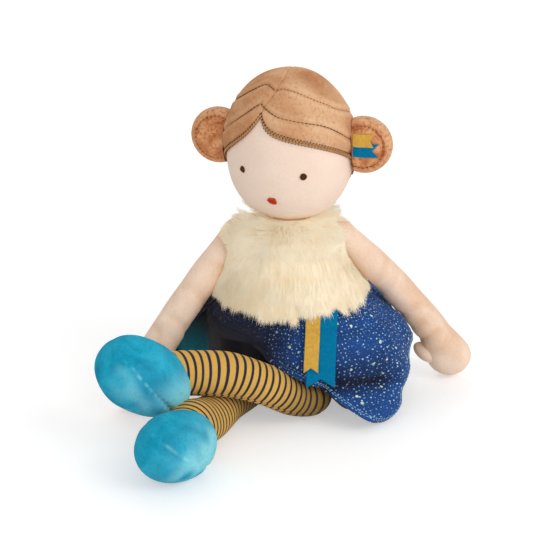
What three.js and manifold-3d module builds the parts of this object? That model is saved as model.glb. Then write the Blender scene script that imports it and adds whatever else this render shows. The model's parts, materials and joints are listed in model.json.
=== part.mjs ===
// A soft rag doll that sits with its legs crossed: millimetres, +Z up.
// The doll faces -Y, its own left is +X, and its seat rests at the origin.
import * as THREE from 'three';
import { mergeVertices } from 'three/addons/utils/BufferGeometryUtils.js';
import Module from 'manifold-3d';

// Driving dimensions. Fits between pieces
const GAP = 0.3;             // air between pieces that touch
const FACET = 0.4;           // extra air where facets of two pieces don't line up
const CLOTH = 1.2;           // thickness of the skin and stocking cloth
const FOOT_CUT = 0.5;        // depth of the flat that a soft piece rests on

// Torso
const TORSO_TOP = 126;       // height of the shoulders over the seat
const TORSO_HALF_WIDTH = 38;
const TORSO_DEPTH_RATIO = 0.82;
const SHOULDER_X = 37;
const SHOULDER_Z = 117;
const HIP_X = 19;
const HIP_Y = -26;

// Neck and head
const NECK_RADIUS = 10.5;
const NECK_SINK = 9;         // how far the neck goes down into the torso
const NOD_HEIGHT = 134;      // height of the point that the head nods about
const NECK_BALL_RADIUS = 13;
const HEAD_HALF_WIDTH = 43.8;
const HEAD_HALF_DEPTH = 40;
const HEAD_HALF_HEIGHT = 51.5;
const CHIN_SQUARENESS = 2.5; // 2 is an ellipse, and more is squarer
const CROWN_SQUARENESS = 1.95;
const CHIN_DROP = 5;         // how far the head's underside lies below the nod point
const HEAD_TURN = -9.5;      // degrees, towards the doll's right

// Hair, buns and face
const HAIR_THICKNESS = 1.6;
const HAIR_PEAK_ANGLE = -18; // degrees round from the nose, where the parting meets the brow
const HAIR_PEAK_HEIGHT = 26; // over the head's centre
const HAIRLINE_LEFT = 13;     // its height beside the peak on the doll's left
const HAIRLINE_LEFT_FALL = 19; // how much lower it is at the left ear
const HAIRLINE_RIGHT = 16;
const HAIRLINE_RIGHT_SLOPE = 0.43; // for each degree round to the right
const EAR_ANGLE = 81;         // degrees round from the nose, where the hair turns down
const NAPE_ANGLE = 125;
const PEAK_SPREAD = 9;       // degrees over which the peak falls away
const NAPE_DROP = 30;        // how far the hair reaches below the head's centre behind
const BUN_RADIUS = 19.6;
const BUN_HALF_THICKNESS = 12.5;
const BUN_REACH = 51;        // from the head's axis to the bun's centre
const BUN_LIFT = 2;
const BUN_SETBACK = 3;
const EYE_HALF_WIDTH = 1.8;
const EYE_HALF_HEIGHT = 2.5;
const EYE_ANGLE_LEFT = 25.5;
const EYE_ANGLE_RIGHT = -33.5;
const EYE_DROP = 12;
const MOUTH_HALF_WIDTH = 3;
const MOUTH_HALF_HEIGHT = 2.2;
const MOUTH_DROP = 31;
const STITCH_HEIGHT = 0.9;   // how far the embroidery stands off the face

// Arms
const ARM_LENGTH = 146;
const ARM_ROOT_RADIUS = 9.5;
const ARM_MID_RADIUS = 11;
const WRIST_RADIUS = 11.6;
const HAND_RADIUS = 14.6;
const HAND_FLATNESS = 0.85;
const ELBOW_PLACE = 45;      // down from the shoulder
const WRIST_BACK = 24;       // from the palm's middle up to the wrist
const THUMB_RADIUS = 5.2;
const THUMB_SINK = 3.6;      // how far the thumb's centre lies inside the hand's edge
const THUMB_SPLAY = 0.25;    // radians
const THUMB_BACK = 31;       // from the fingertips up to the thumb
const LEFT_ARM_REACH = new THREE.Vector3(78, 31, -102);
const RIGHT_ARM_REACH = new THREE.Vector3(-68, -47, -102);
const LEFT_ARM_BOW = 4.3;    // how far the arm bends outwards halfway down
const RIGHT_ARM_BOW = 2;

// Legs and boots
const HIP_BALL_RADIUS = 13.2;
const THIGH_RADIUS = 13.2;
const CALF_RADIUS = 14;
const ANKLE_RADIUS = 13;
const BOOT_HALF_LENGTH = 34.5;
const BOOT_HALF_WIDTH = 23.5;
const BOOT_HALF_HEIGHT = 24.5;

// Clothes
const SKIRT_CLOTH = 1;
const WAIST_HEIGHT = 86;
const WAIST_HALF_WIDTH = 37;
const SKIRT_HALF_WIDTH = 85;
const SKIRT_FRONT_DEPTH = 71;
const SKIRT_BACK_DEPTH = 62;
const SKIRT_GATHERS = 11;
const SKIRT_STEPS = 4 * SKIRT_GATHERS;
const GATHER_DEPTH = 1.3;
const ARM_AIR = 3;           // room between an arm and the cloth that it presses in
const HEM_CLEARANCE = 0.8;   // the hem over the floor
const VEST_TOP = 133;
const VEST_HALF_WIDTH = 57;
const COLLAR_RADIUS = 16;
const VEST_FRONT_DEPTH = 47;
const VEST_HEM_FRONT = 71;
const VEST_HEM_SIDE = 79;
const VEST_ARM_ROOM = 1.03;  // the armhole's size over the arm's
const VEST_SEAT_LOW = 60;    // how far down the form reaches that shapes the vest's hem

// Ribbons
const RIBBON_THICKNESS = 0.7;
const YELLOW_RIBBON_WIDTH = 9.8;
const YELLOW_RIBBON_X = 20;
const YELLOW_RIBBON_END = 37;
const TEAL_RIBBON_WIDTH = 19.4;
const TEAL_RIBBON_X = 26.6;
const TEAL_RIBBON_END = 28;
const SWALLOW_TAIL = 4.5;
const BUN_RIBBON_LENGTH = 17;
const BUN_RIBBON_START = -5;
const BUN_RIBBONS = {
  teal: { width: 10.5, middle: -4, length: BUN_RIBBON_LENGTH },
  yellow: { width: 9, middle: 3.6, length: BUN_RIBBON_LENGTH - 3 },
};

const wasm = await Module();
wasm.setup();

const material = (hex, roughness) =>
  new THREE.MeshStandardMaterial({ color: hex, roughness, metalness: 0 });
const SKIN = material(0xe9c6ac, 0.9);
const STUFFING = material(0xf2efe8, 1);
const HAIR = material(0xb9825a, 0.8);
const THREAD_BROWN = material(0x3b2418, 0.8);
const THREAD_RED = material(0xd3281c, 0.8);
const FUR = material(0xf1e5c8, 1);
const PRINT = material(0x1f3d8a, 0.9);
const LINING = material(0x0f8fa0, 0.8);
const STOCKING = material(0xc89a2e, 0.9);
const VELOUR = material(0x1f9db8, 0.8);
const YELLOW_RIBBON = material(0xd9a62b, 0.5);
const TEAL_RIBBON = material(0x14849a, 0.5);

const radians = THREE.MathUtils.degToRad;
const smooth = THREE.MathUtils.smoothstep;
const lerp = THREE.MathUtils.lerp;

// Builds a manifold solid from points and triangles, turned to face outwards.
function solidFrom(points, triangles) {
  let volume = 0;
  for (const [a, b, c] of triangles) {
    volume += points[a].dot(points[b].clone().cross(points[c]));
  }
  const turned = volume < 0 ? triangles.map(([a, b, c]) => [a, c, b]) : triangles;
  return new wasm.Manifold(new wasm.Mesh({
    numProp: 3,
    vertProperties: new Float32Array(points.flatMap((p) => [p.x, p.y, p.z])),
    triVerts: new Uint32Array(turned.flat()),
  }));
}

// Closes rings of equal point counts into a body with a point at each end.
function ringBody(rings, first, last) {
  const count = rings[0].length;
  const points = [first, ...rings.flat(), last];
  const at = (ring, k) => 1 + ring * count + (k % count);
  const triangles = [];
  for (let k = 0; k < count; k++) {
    triangles.push([0, at(0, k + 1), at(0, k)]);
    for (let ring = 0; ring + 1 < rings.length; ring++) {
      triangles.push([at(ring, k), at(ring, k + 1), at(ring + 1, k)]);
      triangles.push([at(ring, k + 1), at(ring + 1, k + 1), at(ring + 1, k)]);
    }
    triangles.push([at(rings.length - 1, k), at(rings.length - 1, k + 1), points.length - 1]);
  }
  return solidFrom(points, triangles);
}

// A thick sheet over a grid: over(u, v) and under(u, v) give its two faces.
function sheetBody(across, down, over, under, closedRound) {
  const columns = closedRound ? across : across + 1;
  const points = [];
  for (const face of [over, under]) {
    for (let j = 0; j <= down; j++) {
      for (let i = 0; i < columns; i++) points.push(face(i / across, j / down));
    }
  }
  const layer = columns * (down + 1);
  const at = (face, i, j) => face * layer + j * columns + (i % columns);
  const triangles = [];
  const quad = (a, b, c, d) => triangles.push([a, b, c], [a, c, d]);
  for (let i = 0; i < across; i++) {
    for (let j = 0; j < down; j++) {
      quad(at(0, i, j), at(0, i + 1, j), at(0, i + 1, j + 1), at(0, i, j + 1));
      quad(at(1, i, j), at(1, i, j + 1), at(1, i + 1, j + 1), at(1, i + 1, j));
    }
    quad(at(1, i, 0), at(1, i + 1, 0), at(0, i + 1, 0), at(0, i, 0));
    quad(at(0, i, down), at(0, i + 1, down), at(1, i + 1, down), at(1, i, down));
  }
  if (!closedRound) {
    for (let j = 0; j < down; j++) {
      quad(at(0, 0, j), at(0, 0, j + 1), at(1, 0, j + 1), at(1, 0, j));
      quad(at(1, across, j), at(1, across, j + 1), at(0, across, j + 1), at(0, across, j));
    }
  }
  return solidFrom(points, triangles);
}

// Turns a plain three.js geometry into a solid.
function solidOf(geometry) {
  const bare = geometry.clone();
  bare.deleteAttribute('normal');
  bare.deleteAttribute('uv');
  const merged = mergeVertices(bare, 1e-4);
  return new wasm.Manifold(new wasm.Mesh({
    numProp: 3,
    vertProperties: new Float32Array(merged.attributes.position.array),
    triVerts: new Uint32Array(merged.index.array),
  }));
}

const ball = (radius, centre, across = 16, down = 10) =>
  solidOf(new THREE.SphereGeometry(radius, across, down).translate(...centre));

// A block for cutting flats, from its lowest to its highest corner.
function block(low, high) {
  const size = high.map((value, k) => value - low[k]);
  const centre = high.map((value, k) => (value + low[k]) / 2);
  return solidOf(new THREE.BoxGeometry(...size).translate(...centre));
}

// The solid of a mesh, moved to where the mesh stands in the doll.
function standing(solid, object) {
  object.updateWorldMatrix(true, false);
  return solid.transform(object.matrixWorld.toArray());
}

function piece(name, solid, finish) {
  const mesh = solid.getMesh();
  const geometry = new THREE.BufferGeometry();
  geometry.setAttribute('position', new THREE.BufferAttribute(mesh.vertProperties, 3));
  geometry.setIndex(new THREE.BufferAttribute(mesh.triVerts, 1));
  geometry.computeVertexNormals();
  const made = new THREE.Mesh(geometry, finish);
  made.name = name;
  return made;
}

const doll = new THREE.Group();
const floorCut = block([-300, -300, -60], [300, 300, 0]);

// Torso: an oval stuffed bag with a flat seat, wider at the hips than at the shoulders.
const TORSO_SHAPE = [
  [0, 0.80], [0.05, 0.94], [0.16, 1.04], [0.36, 1.02], [0.55, 0.92],
  [0.68, 0.85], [0.80, 0.82], [0.88, 0.77], [0.945, 0.62], [0.985, 0.40],
];

function torsoBody(inset, sides) {
  const rings = TORSO_SHAPE.map(([rise, width]) => {
    const z = rise === 0 ? -FOOT_CUT + inset : Math.min(rise * TORSO_TOP, TORSO_TOP - inset);
    const half = width * TORSO_HALF_WIDTH - inset;
    return Array.from({ length: sides }, (_, k) => {
      const angle = (2 * Math.PI * k) / sides;
      return new THREE.Vector3(
        half * Math.cos(angle), half * TORSO_DEPTH_RATIO * Math.sin(angle), z);
    });
  });
  return ringBody(rings,
    new THREE.Vector3(0, 0, -FOOT_CUT + inset),
    new THREE.Vector3(0, 0, TORSO_TOP - inset));
}

const shoulders = [[SHOULDER_X, 0, SHOULDER_Z], [-SHOULDER_X, 0, SHOULDER_Z]];
const HIP_Z = HIP_BALL_RADIUS + 2 * CLOTH;
const hips = [[HIP_X, HIP_Y, HIP_Z], [-HIP_X, HIP_Y, HIP_Z]];

const NECK_SIDES = 18;
const neckFloor = TORSO_TOP - NECK_SINK;
const neckHole = solidOf(new THREE.CylinderGeometry(
  NECK_RADIUS + GAP, NECK_RADIUS + GAP, 2 * NECK_SINK, NECK_SIDES)
  .rotateX(Math.PI / 2).translate(0, 0, TORSO_TOP - GAP));
const pockets = [
  ...shoulders.map((at) => ball(ARM_ROOT_RADIUS + GAP + FACET, at)),
  ...hips.map((at) => ball(HIP_BALL_RADIUS + GAP + FACET, at)),
  neckHole, floorCut,
];
const cutAll = (solid, tools) => tools.reduce((left, tool) => left.subtract(tool), solid);

const torsoOuter = torsoBody(0, 24);
const innerSides = 20;
const torsoInner = torsoBody(CLOTH, innerSides);
doll.add(piece('torso_skin', cutAll(torsoOuter.subtract(torsoInner), pockets), SKIN));
doll.add(piece('torso_stuffing', cutAll(torsoBody(CLOTH + GAP, innerSides), pockets), STUFFING));

// Neck: a short stuffed stub whose ball top the head nods on.
const neckProfile = [new THREE.Vector2(0, neckFloor), new THREE.Vector2(NECK_RADIUS, neckFloor)];
const neckSteps = 7;
for (let step = 0; step <= neckSteps; step++) {
  const angle = lerp(-Math.acos(NECK_RADIUS / NECK_BALL_RADIUS), Math.PI / 2, step / neckSteps);
  neckProfile.push(new THREE.Vector2(
    step === neckSteps ? 0 : NECK_BALL_RADIUS * Math.cos(angle),
    NOD_HEIGHT + NECK_BALL_RADIUS * Math.sin(angle)));
}
const neckBody = solidOf(
  new THREE.LatheGeometry(neckProfile, NECK_SIDES).rotateX(Math.PI / 2));
doll.add(piece('neck', neckBody, SKIN));

// Head: a rounded form, a little squarer than an egg. Its group stands at the nod point.
const headGroup = new THREE.Group();
headGroup.position.set(0, 0, NOD_HEIGHT);
headGroup.rotation.z = radians(HEAD_TURN);
doll.add(headGroup);
const headCentre = HEAD_HALF_HEIGHT - CHIN_DROP;

// A point on the head, offset outwards, at an angle round from the nose and a height.
function onHead(angle, height, offset) {
  const rise = THREE.MathUtils.clamp(height / HEAD_HALF_HEIGHT, -1, 1);
  const power = height > 0 ? CROWN_SQUARENESS : CHIN_SQUARENESS;
  const spread = (1 - Math.abs(rise) ** power) ** (1 / power);
  const point = new THREE.Vector3(
    HEAD_HALF_WIDTH * spread * Math.sin(angle),
    -HEAD_HALF_DEPTH * spread * Math.cos(angle),
    HEAD_HALF_HEIGHT * rise);
  const steep = power - 1;
  const normal = new THREE.Vector3(
    Math.sin(angle) * spread ** steep / HEAD_HALF_WIDTH,
    -Math.cos(angle) * spread ** steep / HEAD_HALF_DEPTH,
    Math.sign(rise) * Math.abs(rise) ** steep / HEAD_HALF_HEIGHT).normalize();
  return point.addScaledVector(normal, offset).add(new THREE.Vector3(0, 0, headCentre));
}

function headBody(offset, around, down) {
  const rings = [];
  for (let j = 1; j < down; j++) {
    const tilt = -Math.PI / 2 + (Math.PI * j) / down;
    const power = tilt > 0 ? CROWN_SQUARENESS : CHIN_SQUARENESS;
    const height = HEAD_HALF_HEIGHT * Math.sign(tilt) * Math.abs(Math.sin(tilt)) ** (2 / power);
    rings.push(Array.from({ length: around },
      (_, k) => onHead((2 * Math.PI * k) / around, height, offset)));
  }
  return ringBody(rings,
    new THREE.Vector3(0, 0, headCentre - HEAD_HALF_HEIGHT - offset),
    new THREE.Vector3(0, 0, headCentre + HEAD_HALF_HEIGHT + offset));
}

const neckPocket = ball(NECK_BALL_RADIUS + 2 * GAP, [0, 0, 0], 18, 12);
const headOuter = headBody(0, 26, 16);
headGroup.add(piece('head_skin',
  headOuter.subtract(headBody(-CLOTH, innerSides, 11)).subtract(neckPocket), SKIN));
headGroup.add(piece('head_stuffing',
  headBody(-CLOTH - GAP, innerSides, 11).subtract(neckPocket), STUFFING));

// Hair: two velour halves that meet along a parting, which sweeps to the brow's peak.
function hairline(degrees) {
  const left = degrees - HAIR_PEAK_ANGLE;
  const swoop = Math.exp(-Math.abs(left) / PEAK_SPREAD);
  const beside = left > 0
    ? HAIRLINE_LEFT - HAIRLINE_LEFT_FALL * (left / (EAR_ANGLE - HAIR_PEAK_ANGLE)) ** 2
    : HAIRLINE_RIGHT + HAIRLINE_RIGHT_SLOPE * left;
  const level = left > 0 ? HAIRLINE_LEFT : HAIRLINE_RIGHT;
  const front = (HAIR_PEAK_HEIGHT - level) * swoop + beside;
  const behind = smooth(Math.abs(degrees), EAR_ANGLE, NAPE_ANGLE);
  return lerp(front, -NAPE_DROP, behind);
}

const HAIR_SEAT = GAP + FACET;
function hairHalf(side) {
  const across = 20;
  const down = 9;
  const crown = 0.99999;
  const face = (offset) => (u, v) => {
    const parting = HAIR_PEAK_ANGLE * smooth(v, 0.1, 1);
    const angle = lerp(parting, side * 180, u);
    const lowest = Math.asin(hairline(angle) / HEAD_HALF_HEIGHT);
    const height = HEAD_HALF_HEIGHT * Math.sin(lerp(Math.asin(crown), lowest, v));
    const at = onHead(radians(angle), height, offset);
    const ahead = 1 - 2 * u;
    return at.add(new THREE.Vector3(side * GAP / 2 * Math.abs(ahead) ** 8, 0, 0));
  };
  return sheetBody(across, down, face(HAIR_SEAT + HAIR_THICKNESS), face(HAIR_SEAT), false);
}
const hairLeft = hairHalf(1);
const hairRight = hairHalf(-1);
headGroup.add(piece('hair_left', hairLeft, HAIR));
headGroup.add(piece('hair_right', hairRight, HAIR));

// Buns: flat round pads sewn to the sides of the head, facing forwards.
const hairClear = headBody(HAIR_SEAT + HAIR_THICKNESS + GAP + FACET, 26, 16);
function bunBody(side) {
  const pad = new THREE.SphereGeometry(1, 20, 10).rotateX(Math.PI / 2)
    .scale(BUN_RADIUS, BUN_HALF_THICKNESS, BUN_RADIUS)
    .translate(side * BUN_REACH, BUN_SETBACK, headCentre + BUN_LIFT);
  return solidOf(pad).subtract(hairClear);
}
headGroup.add(piece('bun_left', bunBody(1), HAIR));
headGroup.add(piece('bun_right', bunBody(-1), HAIR));

// Embroidered eyes and mouth: low domes that lie on the face.
function stitchedDome(degrees, drop, halfWidth, halfHeight) {
  const angle = radians(degrees);
  const seat = onHead(angle, -drop, GAP);
  const out = onHead(angle, -drop, GAP + 1).sub(seat);
  const dome = solidOf(new THREE.SphereGeometry(1, 12, 4, 0, 2 * Math.PI, 0, Math.PI)
    .rotateX(Math.PI / 2).scale(halfWidth, halfHeight, STITCH_HEIGHT))
    .subtract(block([-9, -9, -9], [9, 9, GAP / 2]));
  const turn = new THREE.Matrix4().makeRotationFromQuaternion(
    new THREE.Quaternion().setFromUnitVectors(new THREE.Vector3(0, 0, 1), out.normalize()));
  turn.setPosition(seat);
  return dome.transform(turn.toArray());
}
headGroup.add(piece('eye_left',
  stitchedDome(EYE_ANGLE_LEFT, EYE_DROP, EYE_HALF_WIDTH, EYE_HALF_HEIGHT), THREAD_BROWN));
headGroup.add(piece('eye_right',
  stitchedDome(EYE_ANGLE_RIGHT, EYE_DROP, EYE_HALF_WIDTH, EYE_HALF_HEIGHT), THREAD_BROWN));
headGroup.add(piece('mouth',
  stitchedDome(-5, MOUTH_DROP, MOUTH_HALF_WIDTH, MOUTH_HALF_HEIGHT), THREAD_RED));

// Hair ribbons: two short tails sewn in where the left bun meets the hair.
const hairRibbons = new THREE.Group();
headGroup.add(hairRibbons);

// A strip with a notched end, bent over a surface: at(x, s, lift) places its points.
function ribbonBody(width, length, notch, at) {
  const across = 2;
  const down = 6;
  const face = (lift) => (u, v) => {
    const x = (u - 0.5) * width;
    const cut = notch * (1 - Math.abs(2 * u - 1));
    return at(x, (length - cut) * v, lift);
  };
  return sheetBody(across, down, face(RIBBON_THICKNESS), face(0), false);
}

function onBun(x, z, lift) {
  const rise = Math.max(0, 1 - (x * x + z * z) / BUN_RADIUS ** 2);
  const y = -BUN_HALF_THICKNESS * Math.sqrt(rise);
  return new THREE.Vector3(
    BUN_REACH + x, BUN_SETBACK + y - 2 * GAP - lift, headCentre + BUN_LIFT + z);
}
const bunRibbon = ({ width, length, middle }, lift) =>
  ribbonBody(width, length, SWALLOW_TAIL, (x, s, thick) =>
    onBun(BUN_RIBBON_START + s, middle - x, thick + lift)).subtract(hairClear);
hairRibbons.add(piece('hair_ribbon_teal', bunRibbon(BUN_RIBBONS.teal, 0), TEAL_RIBBON));
hairRibbons.add(piece('hair_ribbon_yellow',
  bunRibbon(BUN_RIBBONS.yellow, RIBBON_THICKNESS + GAP), YELLOW_RIBBON));

// A tube along a path, with a radius for each share of its length and rounded ends.
function limbBody(curve, radiusAt, steps, sides, flatness = 1) {
  const frames = curve.computeFrenetFrames(steps, false);
  const rings = [];
  for (let j = 0; j <= steps; j++) {
    const share = j / steps;
    const centre = curve.getPointAt(share);
    rings.push(Array.from({ length: sides }, (_, k) => {
      const angle = (2 * Math.PI * k) / sides;
      const radius = radiusAt(share);
      return centre.clone()
        .addScaledVector(frames.normals[j], radius * Math.cos(angle) * flatness)
        .addScaledVector(frames.binormals[j], radius * Math.sin(angle));
    }));
  }
  return ringBody(rings, curve.getPointAt(0), curve.getPointAt(1));
}

// A value that passes smoothly through stops of [share, value].
function through(stops, share) {
  const next = stops.findIndex(([at]) => at >= share);
  if (next <= 0) return stops[next === 0 ? 0 : stops.length - 1][1];
  const [[from, low], [to, high]] = [stops[next - 1], stops[next]];
  return lerp(low, high, smooth(share, from, to));
}

// Arms: a mitten on a slim sleeve of skin cloth, hanging down -Z from the shoulder.
function armBody(side, bow) {
  const inwards = side === 'left' ? -1 : 1;
  const rings = [];
  const steps = 14;
  const sides = 14;
  const palm = ARM_LENGTH - HAND_RADIUS;
  const bowAt = (s) => -inwards * bow * Math.sin(Math.PI * Math.max(0, s) / ARM_LENGTH);
  for (let j = 1; j < steps; j++) {
    const s = lerp(-ARM_ROOT_RADIUS, ARM_LENGTH, j / steps);
    let radius = through([[0, ARM_ROOT_RADIUS], [ELBOW_PLACE, ARM_MID_RADIUS],
      [palm - WRIST_BACK, WRIST_RADIUS], [palm, HAND_RADIUS]], s);
    if (s < 0) radius = Math.sqrt(ARM_ROOT_RADIUS ** 2 - s * s);
    if (s > palm) radius = Math.sqrt(HAND_RADIUS ** 2 - (s - palm) ** 2);
    const flat = lerp(1, HAND_FLATNESS, smooth(s, palm - WRIST_BACK, palm));
    rings.push(Array.from({ length: sides }, (_, k) => {
      const angle = (2 * Math.PI * k) / sides;
      return new THREE.Vector3(
        radius * Math.cos(angle) + bowAt(s), radius * flat * Math.sin(angle), -s);
    }));
  }
  const arm = ringBody(rings, new THREE.Vector3(0, 0, ARM_ROOT_RADIUS),
    new THREE.Vector3(0, 0, -ARM_LENGTH));
  const thumbPlace = ARM_LENGTH - THUMB_BACK;
  const thumb = solidOf(new THREE.SphereGeometry(THUMB_RADIUS, 10, 7)
    .scale(1.1, 0.95, 1.8).rotateY(inwards * THUMB_SPLAY)
    .translate(inwards * (HAND_RADIUS - THUMB_SINK) + bowAt(thumbPlace), 0, -thumbPlace));
  return arm.add(thumb);
}

function addArm(side, at, reach, bow) {
  const solid = armBody(side, bow);
  const arm = piece(`arm_${side}`, solid, SKIN);
  arm.position.set(...at);
  arm.quaternion.setFromUnitVectors(new THREE.Vector3(0, 0, -1), reach.clone().normalize());
  doll.add(arm);
  return standing(solid, arm);
}
const leftArm = addArm('left', shoulders[0], LEFT_ARM_REACH, LEFT_ARM_BOW);
const rightArm = addArm('right', shoulders[1], RIGHT_ARM_REACH, RIGHT_ARM_BOW);

// Legs: striped stockings that start at a ball in the hip and end in a velour boot.
function addLeg(side, path, boot) {
  const curve = new THREE.CatmullRomCurve3(path, false, 'centripetal');
  const radiusAt = (share) => through([[0, HIP_BALL_RADIUS - 1], [0.3, THIGH_RADIUS],
    [0.65, CALF_RADIUS], [1, ANKLE_RADIUS]], share);
  const whole = limbBody(curve, radiusAt, 14, 14)
    .add(ball(HIP_BALL_RADIUS, path[0].toArray(), 14, 8));
  doll.add(piece(`leg_${side}`, cutAll(whole, [bootBody(boot, GAP), floorCut]), STOCKING));
  doll.add(piece(`boot_${side}`, cutAll(bootBody(boot, 0), [floorCut]), VELOUR));
  return whole;
}

// Boots: long padded ovals, fuller at the toe, seen from the sole.
function bootBody(boot, offset) {
  const { centre, toe, sole } = boot;
  const across = new THREE.Vector3().crossVectors(sole, toe).normalize();
  const up = new THREE.Vector3().crossVectors(toe, across).normalize();
  const length = BOOT_HALF_LENGTH + offset;
  const rings = [];
  const steps = 10;
  const sides = 16;
  for (let j = 1; j < steps; j++) {
    const tilt = -Math.PI / 2 + (Math.PI * j) / steps;
    const along = Math.sin(tilt);
    const swell = Math.cos(tilt) * (1 + 0.07 * along);
    rings.push(Array.from({ length: sides }, (_, k) => {
      const angle = (2 * Math.PI * k) / sides;
      return centre.clone()
        .addScaledVector(toe, along * length)
        .addScaledVector(across, swell * (BOOT_HALF_WIDTH + offset) * Math.cos(angle))
        .addScaledVector(up, swell * (BOOT_HALF_HEIGHT + offset) * Math.sin(angle));
    }));
  }
  return ringBody(rings, centre.clone().addScaledVector(toe, -length),
    centre.clone().addScaledVector(toe, length));
}

const point = (x, y, z) => new THREE.Vector3(x, y, z);
const direction = (x, y, z) => new THREE.Vector3(x, y, z).normalize();
const leftPath = [point(...hips[0]), point(20, -46, 14.5), point(7, -58.5, 19.2), point(-12, -70.5, 32.6),
  point(-34, -79, 42.8), point(-57, -87, 47.2), point(-74, -97, 49.8), point(-83, -106, 51.5)];
const rightPath = [point(...hips[1]), point(-26, -40, 14.2), point(-37, -62, 14.2),
  point(-48, -95, 15), point(-55, -122, 18), point(-58, -140, 22)];
const leftBoot = { centre: point(-88.6, -110.5, 53.2), toe: direction(-0.78, -0.25, 0.54),
  sole: direction(-0.5, -0.75, -0.4) };
const rightBoot = { centre: point(-59, -151, 23.8), toe: direction(-0.4, -0.9, 0.15),
  sole: direction(-0.3, -0.9, -0.3) };
const leftLeg = addLeg('left', leftPath, leftBoot);
const rightLeg = addLeg('right', rightPath, rightBoot);

// Skirt: a gathered bubble. Its hem lies on the floor behind and on the doll's left,
// and is lifted over the legs in front, which opens it on the doll's right.
const HEM_STOPS = [[-180, 0], [-98, 0], [-74, 66], [-45, 58], [-25, 56], [-3, 42], [16, 31], [50, 0],
  [64, 1], [84, 38], [98, 38], [120, 0], [180, 0]];
const WAIST_HALF_DEPTH = WAIST_HALF_WIDTH * TORSO_DEPTH_RATIO;
const SIDE_STOPS = [[0, 0.95], [10, 0.98], [20, 0.965], [32, 1], [44, 0.985], [56, 0.9],
  [66, 0.78], [74, 0.66], [80, 0.54], [WAIST_HEIGHT, WAIST_HALF_WIDTH / SKIRT_HALF_WIDTH]];
const FRONT_STOPS = [[0, 1], [10, 1], [20, 0.965], [32, 0.97], [44, 0.89], [56, 0.79],
  [66, 0.69], [74, 0.62], [80, 0.56], [WAIST_HEIGHT, WAIST_HALF_DEPTH / SKIRT_FRONT_DEPTH]];

// How far the arms press the skirt in: the arm's near side at that height, smoothed round.
function armDent(degrees, height, radius) {
  let dent = 0;
  for (const [at, reach] of [[shoulders[0], LEFT_ARM_REACH], [shoulders[1], RIGHT_ARM_REACH]]) {
    const unit = reach.clone().normalize();
    const along = (at[2] - height) / -unit.z;
    if (along > ARM_LENGTH) continue;
    const x = at[0] + unit.x * along;
    const y = at[1] + unit.y * along;
    const thick = lerp(ARM_MID_RADIUS, HAND_RADIUS,
      smooth(along, ARM_LENGTH - 2 * HAND_RADIUS - 25, ARM_LENGTH - HAND_RADIUS - 15));
    const near = Math.hypot(x, y) - thick / Math.hypot(unit.x, unit.z) - GATHER_DEPTH - GAP;
    const round = THREE.MathUtils.radToDeg(Math.atan2(x, -y));
    const away = ((degrees - round + 540) % 360) - 180;
    dent += Math.max(0, radius - near + ARM_AIR) * Math.exp(-((away / 20) ** 2));
  }
  return dent;
}

// The skirt's plan is a rounded box, flatter in front, with a ripple for each gather.
function onSkirt(degrees, height, offset, gathered = true) {
  const angle = radians(degrees);
  const grow = through(SIDE_STOPS, height);
  const front = Math.cos(angle) > 0;
  const wide = SKIRT_HALF_WIDTH * grow;
  const fullness = (wide - WAIST_HALF_WIDTH) / (SKIRT_HALF_WIDTH - WAIST_HALF_WIDTH);
  const deep = front ? SKIRT_FRONT_DEPTH * through(FRONT_STOPS, height)
    : lerp(WAIST_HALF_DEPTH, SKIRT_BACK_DEPTH, fullness);
  const power = lerp(2, 2.9, fullness);
  const radius = ((Math.abs(Math.sin(angle)) / wide) ** power
    + (Math.abs(Math.cos(angle)) / deep) ** power) ** (-1 / power);
  const ripple = GATHER_DEPTH * (gathered
    ? smooth(WAIST_HEIGHT - height, 2, 30) * Math.cos(SKIRT_GATHERS * angle) : 1);
  const reach = radius + ripple - armDent(degrees, height, radius) + offset;
  return new THREE.Vector3(reach * Math.sin(angle), -reach * Math.cos(angle), height);
}
const hemHeight = (degrees) => through(HEM_STOPS, degrees) + HEM_CLEARANCE;

function skirtBody(out, inward) {
  const face = (offset) => (u, v) => {
    const degrees = -180 + 360 * u;
    return onSkirt(degrees, lerp(WAIST_HEIGHT, hemHeight(degrees), v), offset);
  };
  return sheetBody(SKIRT_STEPS, 8, face(out), face(inward), true);
}
doll.add(piece('skirt_outer', skirtBody(0, -SKIRT_CLOTH), PRINT));
doll.add(piece('skirt_lining',
  skirtBody(-SKIRT_CLOTH - GAP, -2 * SKIRT_CLOTH - GAP), LINING));

// Fur vest: fills the space between the torso and the face of the fur, down to its hem.
const VEST_STOPS = [[VEST_HEM_FRONT, 0.98], [76, 1], [82, 0.97], [92, 0.86], [102, 0.79],
  [112, 0.80], [120, 0.80], [127, 0.76], [131, 0.62], [VEST_TOP, 0.45]];
function vestBody() {
  const across = 24;
  const down = 8;
  const rings = [];
  for (let j = 0; j <= down; j++) {
    rings.push(Array.from({ length: across }, (_, k) => {
      const angle = (2 * Math.PI * k) / across;
      const low = lerp(VEST_HEM_FRONT, VEST_HEM_SIDE, Math.cos(angle) ** 2);
      const z = lerp(VEST_TOP, low, j / down);
      const grow = through(VEST_STOPS, z);
      return new THREE.Vector3(VEST_HALF_WIDTH * grow * Math.cos(angle),
        VEST_FRONT_DEPTH * grow * Math.sin(angle), z);
    }));
  }
  return ringBody(rings, new THREE.Vector3(0, 0, VEST_TOP),
    new THREE.Vector3(0, 0, VEST_HEM_FRONT));
}

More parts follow.
